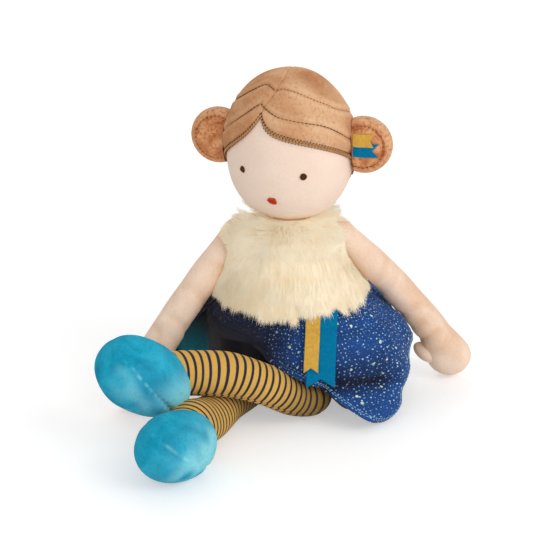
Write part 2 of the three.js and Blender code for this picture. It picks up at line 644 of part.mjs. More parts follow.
// A closed form of the outer skirt, which the vest's hem rests on.
function skirtForm() {
  const rings = [];
  for (let j = 0; j <= 5; j++) {
    const height = lerp(WAIST_HEIGHT + 1, VEST_SEAT_LOW, j / 5);
    rings.push(Array.from({ length: SKIRT_STEPS },
      (_, k) => onSkirt(-180 + (360 * k) / SKIRT_STEPS, Math.min(height, WAIST_HEIGHT), GAP + 2 * FACET)
        .setZ(height)));
  }
  return ringBody(rings, new THREE.Vector3(0, 0, WAIST_HEIGHT + 1),
    new THREE.Vector3(0, 0, VEST_SEAT_LOW));
}
const grown = (solid, share, about) => solid.translate([-about[0], -about[1], -about[2]])
  .scale(share).translate(about);
const headClear = standing(headBody(3 * GAP, 26, 16), headGroup);
const collarHole = solidOf(new THREE.CylinderGeometry(
  COLLAR_RADIUS, COLLAR_RADIUS, 4 * NECK_SINK, 20)
  .rotateX(Math.PI / 2).translate(0, 0, TORSO_TOP));
doll.add(piece('fur_vest', cutAll(vestBody(), [torsoBody(-GAP, 24), skirtForm(), headClear, collarHole,
  grown(leftArm, VEST_ARM_ROOM, shoulders[0]), grown(rightArm, VEST_ARM_ROOM, shoulders[1])]), FUR));

// Waist ribbons: two tails that hang from the vest's hem over the skirt.
function waistRibbon(width, x, end, lift) {
  const top = VEST_HEM_FRONT - 1;
  return ribbonBody(width, top - end, SWALLOW_TAIL, (dx, s, thick) => {
    const z = top - s;
    const degrees = THREE.MathUtils.radToDeg(Math.atan2(x + dx, SKIRT_FRONT_DEPTH));
    const at = onSkirt(degrees, z, GAP + lift + thick, false);
    return at.setX(x + dx);
  });
}
doll.add(piece('waist_ribbon_teal',
  waistRibbon(TEAL_RIBBON_WIDTH, TEAL_RIBBON_X, TEAL_RIBBON_END, 0), TEAL_RIBBON));
doll.add(piece('waist_ribbon_yellow', waistRibbon(YELLOW_RIBBON_WIDTH, YELLOW_RIBBON_X,
  YELLOW_RIBBON_END, RIBBON_THICKNESS + GAP + 2 * FACET), YELLOW_RIBBON));

export default doll;
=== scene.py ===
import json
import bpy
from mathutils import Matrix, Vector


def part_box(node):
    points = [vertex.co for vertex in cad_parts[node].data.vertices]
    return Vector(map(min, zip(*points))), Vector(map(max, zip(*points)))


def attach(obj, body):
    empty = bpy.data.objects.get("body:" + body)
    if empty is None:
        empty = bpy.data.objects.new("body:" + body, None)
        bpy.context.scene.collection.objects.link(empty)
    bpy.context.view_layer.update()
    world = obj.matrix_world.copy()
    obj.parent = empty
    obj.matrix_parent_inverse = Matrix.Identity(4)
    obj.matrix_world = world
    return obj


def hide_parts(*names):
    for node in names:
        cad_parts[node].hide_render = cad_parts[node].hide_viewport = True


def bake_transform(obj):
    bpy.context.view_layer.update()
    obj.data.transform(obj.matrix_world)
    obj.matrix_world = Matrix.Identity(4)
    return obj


bl_info = {
    "name": "Rag doll",
    "version": (1, 0, 0),
    "blender": (4, 5, 0),
    "location": "3D View > Sidebar > Rag doll",
    "description": "Dresses the packed frame of a seated rag doll in cloth, fur, hair and stitching",
    "category": "Add Mesh",
}

import bpy
import numpy as np
from bpy.props import FloatProperty, FloatVectorProperty, IntProperty, PointerProperty
from mathutils import Vector

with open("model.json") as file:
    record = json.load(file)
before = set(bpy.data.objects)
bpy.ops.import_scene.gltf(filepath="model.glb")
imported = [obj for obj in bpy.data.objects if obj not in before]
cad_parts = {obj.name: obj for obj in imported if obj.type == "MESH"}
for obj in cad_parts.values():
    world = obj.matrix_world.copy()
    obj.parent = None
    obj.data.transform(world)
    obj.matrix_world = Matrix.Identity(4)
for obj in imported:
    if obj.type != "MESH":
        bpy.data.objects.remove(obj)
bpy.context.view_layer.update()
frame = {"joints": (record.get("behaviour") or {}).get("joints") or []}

# Lengths inside the functions are millimetres, and a finished mesh is in metres.
MM = 0.001
JOINTS = {joint["name"]: joint for joint in frame["joints"]}
SIDES = ("left", "right")
# The doll's own left is +X.
OUTWARDS = {"left": 1, "right": -1}


def in_mm(place):
    return np.array(place, float) / MM


def node_box(node):
    """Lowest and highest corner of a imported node, in millimetres."""
    low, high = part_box(node)
    return in_mm(low), in_mm(high)


# Places and sizes that the frame gives.
TORSO_TOP = node_box("torso_skin")[1][2]
TORSO_HALF_WIDTH = node_box("torso_skin")[1][0] / 1.04
HEAD_LOW, HEAD_HIGH = node_box("head_skin")
HEAD_HALF_HEIGHT = (HEAD_HIGH[2] - HEAD_LOW[2]) / 2
HEAD_CENTRE = np.array([0, 0, (HEAD_HIGH[2] + HEAD_LOW[2]) / 2])
NOD_POINT = in_mm(JOINTS["head_nod"]["pos_m"])
NECK_LOW, NECK_HIGH = node_box("neck")
SHOULDERS = {side: in_mm(JOINTS[f"shoulder_{side}"]["pos_m"]) for side in SIDES}
HIPS = {side: in_mm(JOINTS[f"hip_{side}"]["pos_m"]) for side in SIDES}
WAIST_HEIGHT = node_box("skirt_outer")[1][2]

# Shapes that the frame's solids share, in its own numbers.
DEPTH_RATIO = 0.82
TORSO_SHAPE = [
    (0, 0.80), (0.05, 0.94), (0.16, 1.04), (0.36, 1.02), (0.55, 0.92), (0.68, 0.85),
    (0.80, 0.82), (0.88, 0.77), (0.945, 0.62), (0.985, 0.40), (1, 0.0),
]
CHIN_SQUARENESS = 2.5
CROWN_SQUARENESS = 1.95
HEAD_TURN = -9.5
HAIR_PEAK_ANGLE = -18
HAIR_PEAK_HEIGHT = 26
HAIRLINE_LEFT = 13
HAIRLINE_LEFT_FALL = 19
HAIRLINE_RIGHT = 16
HAIRLINE_RIGHT_SLOPE = 0.43
EAR_ANGLE = 81
NAPE_ANGLE = 125
PEAK_SPREAD = 9
NAPE_DROP = 30
BUN_REACH = 51
BUN_LIFT = 2
BUN_SETBACK = 3
BUN_RADIUS = 19.6
BUN_HALF_THICKNESS = 12.5
BUN_RING = 0.74
ARM_LENGTH = 146
ARM_ROOT_RADIUS = 9.5
ARM_MID_RADIUS = 11
WRIST_RADIUS = 11.6
HAND_RADIUS = 14.6
HAND_FLATNESS = 0.85
PALM = ARM_LENGTH - HAND_RADIUS
ELBOW_PLACE = 45
WRIST_PLACE = PALM - 24
# Each thumb's radius, its place down the arm, and how far in and in front of the axis it sits.
THUMBS = {"left": (6.2, 115.5, 10.4, 4.2), "right": (5.2, 115, 9.8, 0.0)}
THUMB_SPLAY = 0.22
THUMB_BEND = 1.2
THUMB_STRETCH = 1.8
ARM_REACH = {"left": (78, 31, -102), "right": (-68, -47, -102)}
ARM_BOW = {"left": 4.3, "right": 2}
HIP_RADIUS = 13.2
CALF_RADIUS = 14
ANKLE_RADIUS = 13
LEG_PATHS = {
    "left": [(20, -46, 14.5), (7, -58.5, 19.2), (-12, -70.5, 32.6), (-34, -79, 42.8),
             (-57, -87, 47.2), (-74, -97, 49.8), (-83, -106, 51.5)],
    "right": [(-26, -40, 14.2), (-37, -62, 14.2), (-48, -95, 15), (-55, -122, 18), (-58, -140, 22)],
}
# The boots' broad faces look this way, and each seam runs along its own way across its face.
FACING = (0.08, -0.94, 0.34)
BOOTS = {
    "left": {"centre": (-88.6, -110.5, 53.2), "toe": (-0.78, -0.25, 0.54),
             "sole": (-0.5, -0.75, -0.4), "seam": (0.66, -0.21, -0.72)},
    "right": {"centre": (-59, -151, 23.8), "toe": (-0.4, -0.9, 0.15), "sole": (-0.3, -0.9, -0.3),
              "seam": (0.83, -0.13, -0.55)},
}
# The velour boots settle by these amounts, and their half lengths, widths and heights are these.
BOOT_SETTLE = {"left": (2.2, 0, -1), "right": (-0.3, 2.2, -1.2)}
VELOUR_HALVES = {"left": (34.2, 23.7, 24.3), "right": (34, 23, 22.4)}
BOOT_TAPER = 0.07
SKIRT_CLOTH = 1
WAIST_HALF_WIDTH = 37
SKIRT_HALF_WIDTH = 85
SKIRT_FRONT_DEPTH = 71
SKIRT_BACK_DEPTH = 62
SKIRT_GATHERS = 11
GATHER_DEPTH = 1.3
SKIRT_MEAN_RADIUS = 68
ARM_AIR = 3
# How softly an arm's dent in the skirt starts, in square millimetres, and its spread in degrees.
DENT_SOFTNESS = 30
DENT_SPREAD = 20
# Swellings of the skirt beside the left arm: how far each stands out, its height and its spread
# up the skirt, and its angle and its spread round it.
ARM_SWELLS = ((11, 64, 14, 117, 15), (3.2, 36, 14, 94, 16), (3.5, 24, 10, 76, 14),
              (8, 54, 11, 89, 12))
HEM_CLEARANCE = 0.8
HEM_STOPS = [(-180, 0), (-98, 0), (-74, 66), (-45, 58), (-25, 56), (-3, 42), (16, 31), (50, 0),
             (64, 1), (84, 38), (98, 38), (120, 0), (180, 0)]
# Heights of the deep fold on the skirt's left front, by the angle round the skirt.
FOLD_STOPS = [(0, 17), (18, 20), (24, 24.5), (31, 28), (43, 28), (57, 26.5), (70, 25)]
WAIST_HALF_DEPTH = WAIST_HALF_WIDTH * DEPTH_RATIO
SIDE_STOPS = [(0, 0.95), (10, 0.98), (20, 0.965), (32, 1), (44, 0.985), (56, 0.9), (66, 0.78),
              (74, 0.66), (80, 0.54), (86, WAIST_HALF_WIDTH / SKIRT_HALF_WIDTH)]
FRONT_STOPS = [(0, 1), (10, 1), (20, 0.965), (32, 0.97), (44, 0.89), (56, 0.79), (66, 0.69),
               (74, 0.62), (80, 0.56), (86, WAIST_HALF_DEPTH / SKIRT_FRONT_DEPTH)]
VEST_HALF_WIDTH = 57
VEST_FRONT_DEPTH = 47
VEST_HEM_FRONT = 71
VEST_HEM_SIDE = 79
VEST_TOP = 133
VEST_STOPS = [(71, 0.98), (76, 1), (82, 0.97), (92, 0.86), (102, 0.79), (112, 0.80),
              (120, 0.80), (127, 0.76), (131, 0.62), (133, 0.45)]
RIBBON_THICKNESS = 0.5
STRIPE_PERIOD = 5.2
SWALLOW_TAIL = 4.5
THREAD_RINGS = 7
THREAD_SIDES = 6
# About how many millimetres a degree is, round the head and round the vest.
MM_PER_DEGREE = 0.7


# Small helpers


def smooth(x, low, high):
    """Rises from 0 to 1 between low and high, with level ends: 3t^2 - 2t^3."""
    t = np.clip((x - low) / (high - low), 0, 1)
    return t * t * (3 - 2 * t)


def window(x, low, full, still_full, high):
    """Rises smoothly from 0 to 1 between low and full, and falls back from still_full to high."""
    return smooth(x, low, full) * (1 - smooth(x, still_full, high))


def through(stops, x):
    """Passes through stops of (place, value), each to the next by a smooth step."""
    places, values = np.array(stops, float).T
    k = np.clip(np.searchsorted(places, x), 1, len(places) - 1)
    return values[k - 1] + (values[k] - values[k - 1]) * smooth(x, places[k - 1], places[k])


def mixed(a, b, share):
    return a + (b - a) * share


def unit(vector):
    vector = np.asarray(vector, float)
    return vector / np.linalg.norm(vector, axis=-1, keepdims=True)


def bump(x, width):
    """A bell of height 1 about x = 0: exp(-(x / width)^2)."""
    return np.exp(-((x / width) ** 2))


def length_along(line):
    """The length walked from a line's first point to each of its points."""
    return np.concatenate([[0], np.cumsum(np.linalg.norm(np.diff(line, axis=0), axis=1))])


def places_along(line, walked, lengths):
    """The points of a line at the given lengths, where `walked` holds its own points' lengths."""
    return np.stack([np.interp(lengths, walked, line[:, axis]) for axis in range(3)], -1)


def full_turn(count):
    """Angles in radians, evenly spaced once round."""
    return np.linspace(0, 2 * np.pi, count, endpoint=False)


def soft_noise(points, size, seed):
    """The sum of nine sine waves in random directions, each about `size` long: roughly -1 to 1."""
    rng = np.random.default_rng(seed)
    waves = unit(rng.normal(size=(9, 3))) * rng.uniform(0.7, 1.4, (9, 1)) * 2 * np.pi / size
    phases = rng.uniform(0, 2 * np.pi, 9)
    return np.sin(points @ waves.T + phases).sum(-1) / 3.6


def turned(points, degrees=HEAD_TURN):
    """Points turned about the vertical axis, as the head is."""
    angle = np.radians(degrees)
    c, s = np.cos(angle), np.sin(angle)
    return points @ np.array([[c, s, 0], [-s, c, 0], [0, 0, 1]])


def colour_of(red, green, blue):
    """A colour given in the picture's 0 to 255, as the linear values that a shader takes."""
    value = np.array([red, green, blue]) / 255
    linear = np.where(value <= 0.04045, value / 12.92, ((value + 0.055) / 1.055) ** 2.4)
    return (*linear, 1.0)


def make_piece(name, points, faces, values=None, normals=None):
    """Makes a mesh from points in millimetres and arrays of faces, turned to face outwards.

    The signed volume is a third of the sum of p0 . (p1 x p2) over a fan of each face. Where it is
    negative, every face is reversed.
    """
    volume = 0
    for face in faces:
        for k in range(1, face.shape[1] - 1):
            a, b, c = points[face[:, 0]], points[face[:, k]], points[face[:, k + 1]]
            volume += np.einsum("ij,ij->i", a, np.cross(b, c)).sum()
    if volume < 0:
        faces = [face[:, ::-1] for face in faces]
    corners = np.concatenate([face.reshape(-1) for face in faces]).astype(np.int32)
    sizes = np.concatenate([np.full(len(face), face.shape[1]) for face in faces])
    starts = np.concatenate([[0], np.cumsum(sizes)[:-1]]).astype(np.int32)
    mesh = bpy.data.meshes.new(name)
    mesh.vertices.add(len(points))
    mesh.vertices.foreach_set("co", (points * MM).astype(np.float32).ravel())
    mesh.loops.add(len(corners))
    mesh.loops.foreach_set("vertex_index", corners)
    mesh.polygons.add(len(sizes))
    mesh.polygons.foreach_set("loop_start", starts)
    mesh.update(calc_edges=True)
    mesh.polygons.foreach_set("use_smooth", np.ones(len(sizes), bool))
    for key, value in (values or {}).items():
        attribute = mesh.attributes.new(key, "FLOAT", "POINT")
        attribute.data.foreach_set("value", np.ravel(value).astype(np.float32))
    if normals is not None:
        mesh.normals_split_custom_set_from_vertices(normals.tolist())
    piece = bpy.data.objects.new(name, mesh)
    bpy.context.scene.collection.objects.link(piece)
    return piece


def grid_quads(numbers, round_way):
    """Quads between the neighbours in a grid of point numbers, closed round its columns or open."""
    right = np.roll(numbers, -1, axis=1)
    here = numbers
    if not round_way:
        right, here = numbers[:, 1:], numbers[:, :-1]
    return np.stack([here[:-1], right[:-1], right[1:], here[1:]], -1).reshape(-1, 4)


def closed_body(name, rings, first, last, values=None):
    """Rings of points, (rows, columns, 3), closed at each end by a fan to one point."""
    rows, columns = rings.shape[:2]
    numbers = np.arange(rows * columns).reshape(rows, columns)
    right = np.roll(numbers, -1, axis=1)
    start, end = np.full(columns, rows * columns), np.full(columns, rows * columns + 1)
    fans = np.concatenate([
        np.stack([start, right[0], numbers[0]], -1),
        np.stack([end, numbers[-1], right[-1]], -1),
    ])
    points = np.concatenate([rings.reshape(-1, 3), [first], [last]])
    spread = {}
    for key, value in (values or {}).items():
        value = np.broadcast_to(value, (rows, columns))
        spread[key] = np.concatenate([value.ravel(), [value[0].mean(), value[-1].mean()]])
    return make_piece(name, points, [grid_quads(numbers, True), fans], spread)


def thick_sheet(name, over, under, round_way, values=None):
    """Two faces over one grid, (rows, columns, 3) each, joined round the open edges."""
    rows, columns = over.shape[:2]
    top = np.arange(rows * columns).reshape(rows, columns)
    low = top + rows * columns
    faces = [grid_quads(top, round_way), grid_quads(low, round_way)[:, ::-1]]
    for row in (0, -1):
        edge = grid_quads(np.stack([low[row], top[row]]), round_way)
        faces.append(edge if row == 0 else edge[:, ::-1])
    if not round_way:
        for column in (0, -1):
            edge = grid_quads(np.stack([top[:, column], low[:, column]]), False)
            faces.append(edge if column == 0 else edge[:, ::-1])
    points = np.concatenate([over.reshape(-1, 3), under.reshape(-1, 3)])
    spread = {key: np.tile(np.broadcast_to(value, (rows, columns)).ravel(), 2)
              for key, value in (values or {}).items()}
    return make_piece(name, points, faces, spread)


def smooth_path(points, count):
    """A Catmull-Rom curve through the points, walked in `count` equal steps of length.

    Between b and c, with a before and d after, the point at t is
    b + t(c-a)/2 + t^2(a - 2.5b + 2c - d/2) + t^3(1.5b - a/2 - 1.5c + d/2).
    """
    points = np.array(points, float)
    ends = np.vstack([2 * points[0] - points[1], points, 2 * points[-1] - points[-2]])
    t = np.linspace(0, len(points) - 1, 60 * len(points))
    k = np.minimum(t.astype(int), len(points) - 2)
    t = (t - k)[:, None]
    a, b, c, d = (ends[k + step] for step in range(4))
    dense = (b + t * (c - a) / 2 + t**2 * (a - 2.5 * b + 2 * c - d / 2)
             + t**3 * (1.5 * b - a / 2 - 1.5 * c + d / 2))
    walked = length_along(dense)
    even = np.linspace(0, walked[-1], count)
    return places_along(dense, walked, even), even


def thread_bits(name, starts, ends, outward, radius, arch, values=None):
    """Short stitches, each a fat thread from a start to an end that arches outwards.

    Its centre is the straight line plus arch * sin(pi t), and its radius is
    radius * sin(pi t)^0.35, so both ends are round and sink in.
    """
    t = np.linspace(0.04, 0.96, THREAD_RINGS)
    along = unit(ends - starts)
    out = unit(outward - np.sum(outward * along, -1, keepdims=True) * along)
    across = np.cross(along, out)
    centre = (starts[:, None] * (1 - t[:, None]) + ends[:, None] * t[:, None]
              + out[:, None] * (arch * np.sin(np.pi * t))[:, None])
    angle = 2 * np.pi * np.arange(THREAD_SIDES) / THREAD_SIDES
    thick = (radius * np.sin(np.pi * t) ** 0.35)[:, None, None]
    ring = (centre[:, :, None] + thick * np.cos(angle)[:, None] * across[:, None, None]
            + thick * np.sin(angle)[:, None] * out[:, None, None])
    many = len(starts)
    points = ring.reshape(-1, 3)
    numbers = np.arange(many * THREAD_RINGS * THREAD_SIDES)
    numbers = numbers.reshape(many, THREAD_RINGS, THREAD_SIDES)
    right = np.roll(numbers, -1, axis=2)
    quads = np.stack([numbers[:, :-1], right[:, :-1], right[:, 1:], numbers[:, 1:]], -1)
    caps = np.concatenate([numbers[:, 0, ::-1], numbers[:, -1]])
    return make_piece(name, points, [quads.reshape(-1, 4), caps], values)


# Shader groups and materials


class Recipe:
    """Adds nodes to a material or a group, sets their values and joins them."""

    def __init__(self, tree):
        self.tree = tree

    def feed(self, socket, value):
        """Joins another socket to this one, or sets its own value. A colour needs no alpha."""
        if isinstance(value, bpy.types.NodeSocket):
            self.tree.links.new(value, socket)
        elif socket.type == "RGBA":
            socket.default_value = (*value[:3], 1)
        else:
            socket.default_value = value

    def add(self, kind, inputs=None, **settings):
        node = self.tree.nodes.new(kind)
        for key, value in settings.items():
            setattr(node, key, value)
        for key, value in (inputs or {}).items():
            self.feed(node.inputs[key], value)
        return node

    def math(self, operation, first, second=0.0):
        node = self.add("ShaderNodeMath", {0: first, 1: second}, operation=operation)
        return node.outputs[0]

    def times(self, first, second):
        return self.math("MULTIPLY", first, second)

    def plus(self, first, second):
        return self.math("ADD", first, second)

    def ramp(self, value, low, high, to_low=0.0, to_high=1.0):
        inputs = {0: value, 1: low, 2: high, 3: to_low, 4: to_high}
        return self.add("ShaderNodeMapRange", inputs).outputs[0]

    def noise(self, vector, scale, **others):
        inputs = {"Vector": vector, "Scale": scale, **others}
        return self.add("ShaderNodeTexNoise", inputs).outputs["Fac"]

    def mix(self, factor, first, second):
        node = self.add("ShaderNodeMix", data_type="RGBA")
        for key, value in ((0, factor), (6, first), (7, second)):
            self.feed(node.inputs[key], value)
        return node.outputs[2]


def shader_group(name, inputs, outputs):
    """An empty shader group with float or vector inputs and float outputs."""
    group = bpy.data.node_groups.new(name, "ShaderNodeTree")
    for key, kind, default in inputs:
        socket = group.interface.new_socket(key, in_out="INPUT", socket_type=kind)
        if default is not None:
            socket.default_value = default
    for key in outputs:
        group.interface.new_socket(key, in_out="OUTPUT", socket_type="NodeSocketFloat")
    recipe = Recipe(group)
    return recipe, recipe.add("NodeGroupInput"), recipe.add("NodeGroupOutput")


def nap_group():
    """Brushed pile: broad patches where the nap lies over, short fuzz, and single fibres."""
    recipe, given, out = shader_group(
        "Brushed nap",
        [("Vector", "NodeSocketVector", None), ("Patch Scale", "NodeSocketFloat", 40.0),
         ("Fuzz Scale", "NodeSocketFloat", 500.0)],
        ["Broad", "Fuzz", "Height"])
    vector = given.outputs["Vector"]
    patches = recipe.noise(vector, given.outputs["Patch Scale"], Distortion=0.5)
    fuzz = recipe.noise(vector, given.outputs["Fuzz Scale"], Detail=3.0, Roughness=0.6,
                        Distortion=0.4)
    fibres = recipe.noise(vector, recipe.times(given.outputs["Fuzz Scale"], 3.5))
    height = recipe.plus(fuzz, recipe.times(fibres, 0.6))
    for key, value in (("Broad", recipe.ramp(patches, 0.32, 0.68)),
                       ("Fuzz", recipe.ramp(fuzz, 0.48, 0.7)),
                       ("Height", height)):
        recipe.tree.links.new(value, out.inputs[key])
    return recipe.tree


def weave_group():
    """Plain weave: over and under threads, as the product of two sine waves, with slubs."""
    recipe, given, out = shader_group(
        "Plain weave",
        [("Vector", "NodeSocketVector", None), ("Threads", "NodeSocketFloat", 2200.0)],
        ["Shade", "Height"])
    vector = given.outputs["Vector"]
    parts = recipe.add("ShaderNodeSeparateXYZ", {"Vector": vector})
    side = recipe.plus(parts.outputs["X"], parts.outputs["Y"])
    warp = recipe.math("SINE", recipe.times(side, given.outputs["Threads"]))
    weft = recipe.math("SINE", recipe.times(parts.outputs["Z"], given.outputs["Threads"]))
    cross = recipe.times(warp, weft)
    slubs = recipe.noise(vector, 420.0, Detail=3.0)
    height = recipe.plus(recipe.times(cross, 0.25), slubs)
    recipe.tree.links.new(recipe.ramp(slubs, 0.3, 0.7), out.inputs["Shade"])
    recipe.tree.links.new(height, out.inputs["Height"])
    return recipe.tree


def dots_group():
    """Dots on a sheet: some cells of a flat pattern hold a disc, each of its own size."""
    recipe, given, out = shader_group(
        "Scattered dots",
        [("Vector", "NodeSocketVector", None), ("Cell", "NodeSocketFloat", 3.0),
         ("Smallest", "NodeSocketFloat", 0.2), ("Largest", "NodeSocketFloat", 0.6),
         ("Share", "NodeSocketFloat", 0.8)],
        ["Mask", "Random"])
    cells = recipe.add("ShaderNodeTexVoronoi", {
        "Vector": given.outputs["Vector"], "Randomness": 0.6,
        "Scale": recipe.math("DIVIDE", 1.0, given.outputs["Cell"])}, voronoi_dimensions="2D")
    chance = recipe.add("ShaderNodeSeparateColor", {"Color": cells.outputs["Color"]})
    sharp = recipe.math("POWER", chance.outputs[0], 2.0)
    spread = recipe.math("SUBTRACT", given.outputs["Largest"], given.outputs["Smallest"])
    size = recipe.plus(given.outputs["Smallest"], recipe.times(sharp, spread))
    away = recipe.times(cells.outputs["Distance"], given.outputs["Cell"])
    inside = recipe.ramp(recipe.math("SUBTRACT", size, away), -0.1, 0.1)
    chosen = recipe.math("LESS_THAN", chance.outputs[2], given.outputs["Share"])
    recipe.tree.links.new(recipe.times(inside, chosen), out.inputs["Mask"])
    recipe.tree.links.new(chance.outputs[1], out.inputs["Random"])
    return recipe.tree


GROUPS = {}
GROUP_MAKERS = {"nap": nap_group, "weave": weave_group, "dots": dots_group}


class Finish(Recipe):
    """A material with one Principled shader. Its own numbers are set on the shader's sockets."""

    def __init__(self, name, roughness, sheen=0.0, sheen_tint=(1, 1, 1, 1), specular=0.2):
        self.material = bpy.data.materials.new(name)
        self.material.use_nodes = True
        super().__init__(self.material.node_tree)
        self.shader = self.tree.nodes["Principled BSDF"]
        self.shader.inputs["Roughness"].default_value = roughness
        self.shader.inputs["Sheen Weight"].default_value = sheen
        self.shader.inputs["Sheen Roughness"].default_value = 0.35
        self.shader.inputs["Sheen Tint"].default_value = sheen_tint
        self.shader.inputs["Specular IOR Level"].default_value = specular

    def place(self):
        return self.add("ShaderNodeTexCoord").outputs["Object"]

    def value(self, name):
        return self.add("ShaderNodeAttribute", attribute_name=name).outputs["Fac"]

    def group(self, key, **inputs):
        if key not in GROUPS:
            GROUPS[key] = GROUP_MAKERS[key]()
        node = self.add("ShaderNodeGroup", node_tree=GROUPS[key])
        for name, value in inputs.items():
            self.feed(node.inputs[name.replace("_", " ")], value)
        return node.outputs

    def colour(self, socket):
        self.tree.links.new(socket, self.shader.inputs["Base Color"])

    def relief(self, height, distance, strength=1.0):
        node = self.add("ShaderNodeBump", {"Height": height, "Distance": distance,
                                           "Strength": strength})
        self.tree.links.new(node.outputs[0], self.shader.inputs["Normal"])


# Colours of painted shade: what cloth and thread darken to where they lie deepest.
PAINTED_HOLLOW_SHADE = (0.011, 0.01, 0.014)
THREAD_IN_SHADE = (0.012, 0.016, 0.04)
JERSEY_IN_SHADE = (0.05, 0.035, 0.02)
# Each size of printed dot: its cell, its least and greatest radius, the share of cells that hold
# one, and its darkest and lightest colour.
PRINTED_DOTS = (
    (2.2, 0.2, 0.4, 0.8, (0.04, 0.13, 0.36), (0.14, 0.32, 0.58)),
    (3.3, 0.34, 0.58, 0.85, (0.2, 0.4, 0.66), (0.55, 0.74, 0.85)),
    (10.5, 0.7, 1.15, 0.55, (0.45, 0.6, 0.5), (0.75, 0.82, 0.62)),
)


def skin_finish(colours):
    """Brushed cotton: faint darker patches of nap, painted shade in the arms' creases, and a soft, short
    pile.
    """
    finish = Finish("Skin cloth", 0.9, sheen=0.2, sheen_tint=(1, 0.94, 0.9, 1))
    nap = finish.group("nap", Vector=finish.place(), Patch_Scale=40.0, Fuzz_Scale=700.0)
    base = finish.mix(finish.value("warm"), colours.skin, colours.skin_warm)
    # The arms' value grows past 1 in their creases, and there the darker nap colour spreads as painted
    # shade.
    amount = finish.plus(0.3, finish.times(finish.value("warm"), 0.45))
    patches = finish.times(nap["Broad"], amount)
    shade = finish.plus(patches, finish.times(nap["Fuzz"], 0.3))
    dark = finish.mix(finish.value("warm"), colours.skin_shade, colours.arm_shade)
    finish.colour(finish.mix(shade, base, dark))
    finish.relief(nap["Height"], 0.0002, 0.4)
    return finish.material


def velour_finish(name, dark, middle, light, patch, speckle):
    """Velour: the nap lies darker in broad, soft patches, and paler where it is pressed flat and where a
    highlight is painted.
    """
    finish = Finish(name, 0.95, sheen=0.12, sheen_tint=(*light, 1), specular=0.05)
    nap = finish.group("nap", Vector=finish.place(), Patch_Scale=patch, Fuzz_Scale=520.0)
    colour = finish.mix(nap["Broad"], dark, middle)
    # Paler nap, and on the boots and hair a painted highlight.
    pale = finish.plus(0.45, finish.times(nap["Height"], 0.7))
    pale = finish.times(finish.value("crushed"), pale)
    colour = finish.mix(pale, colour, light)
    deep = tuple(0.62 * part for part in dark)
    finish.colour(finish.mix(finish.times(nap["Fuzz"], speckle), colour, deep))
    finish.relief(nap["Height"], 0.0004, 0.7)
    return finish.material


def thread_finish(name, colour):
    """Twisted sewing thread: slanting plies, dark where it lies deep in shade."""
    finish = Finish(name, 0.7, specular=0.1)
    place = finish.place()
    plies = finish.add("ShaderNodeTexWave", {
        "Vector": place, "Scale": 700.0, "Distortion": 1.5, "Detail": 1.0},
        bands_direction="DIAGONAL")
    dark = tuple(0.55 * part for part in colour)
    plied = finish.mix(plies.outputs["Fac"], dark, colour)
    # Painted shade: the thread darkens where its deep value says it lies in shade.
    finish.colour(finish.mix(finish.value("deep"), plied, THREAD_IN_SHADE))
    finish.relief(plies.outputs["Fac"], 0.0002, 0.8)
    return finish.material


def fur_finish(name, root, tip):
    """Long pile: darker at the roots, each strand its own shade, and a little yellower in parts.

    Its own faint light stands for the light that passes through and between fine pale hairs.
    """
    finish = Finish(name, 0.8, specular=0.1)
    finish.shader.inputs["Emission Color"].default_value = (1, 0.8, 0.52, 1)
    finish.shader.inputs["Emission Strength"].default_value = 0.2
    patches = finish.noise(finish.place(), 45.0)
    share = finish.times(finish.value("tip"), 0.5)
    share = finish.plus(share, finish.times(finish.value("shade"), 0.75))
    yellower = finish.ramp(patches, 0.4, 0.7, 0.0, 0.35)
    share = finish.math("SUBTRACT", share, yellower)
    finish.colour(finish.mix(share, root, tip))
    return finish.material


def print_finish(colours):
    """Cotton printed with three sizes of scattered pale dots on a ground that clouds over to navy.

    The pattern counts millimetres round and down the cloth, so that its dots stay round. Painted
    shade darkens it on the doll's right front and along the deep fold, and to nearly black in the
    hollow over the legs.
    """
    finish = Finish("Printed cotton", 0.85, sheen=0.1)
    place = finish.place()
    flat = finish.add("ShaderNodeCombineXYZ", {
        0: finish.value("around"), 1: finish.value("down")}).outputs[0]
    weave = finish.group("weave", Vector=place, Threads=5200.0)
    clouds = finish.noise(place, 32.0, Detail=3.0, Roughness=0.6)
    cloudy = finish.ramp(clouds, 0.62, 0.36, 0.0, 0.4)
    # Painted shade: the deep value adds shade on the doll's right front and along the fold.
    deep = finish.plus(cloudy, finish.value("deep"))
    ground = finish.mix(deep, colours.skirt, colours.skirt_shade)
    threads = finish.times(weave["Shade"], 0.25)
    colour = finish.mix(threads, ground, colours.skirt_shade)
    for cell, smallest, largest, share, dark, light in PRINTED_DOTS:
        dots = finish.group("dots", Vector=flat, Cell=cell, Smallest=smallest, Largest=largest,
                            Share=share)
        colour = finish.mix(dots["Mask"], colour, finish.mix(dots["Random"], dark, light))
    # Painted shade over the dots as well.
    in_shade = finish.times(finish.value("deep"), 0.86)
    shaded = finish.mix(in_shade, colour, colours.skirt_shade)
    # Painted shade: nearly black in the hollow over the legs.
    finish.colour(finish.mix(finish.value("hollow"), shaded, PAINTED_HOLLOW_SHADE))
    finish.relief(weave["Height"], 0.00015, 0.5)
    return finish.material


def lining_finish(colours):
    """Plain woven lining, darkened by painted shade to nearly black in the hollow over the legs."""
    finish = Finish("Skirt lining", 0.7, sheen=0.1)
    weave = finish.group("weave", Vector=finish.place(), Threads=6000.0)
    dark = tuple(0.75 * part for part in colours.teal)
    colour = finish.mix(weave["Shade"], dark, colours.teal)
    # Painted shade: the deep value takes the lining to nearly black.
    finish.colour(finish.mix(finish.value("deep"), colour, PAINTED_HOLLOW_SHADE))
    finish.relief(weave["Height"], 0.00012, 0.5)
    return finish.material


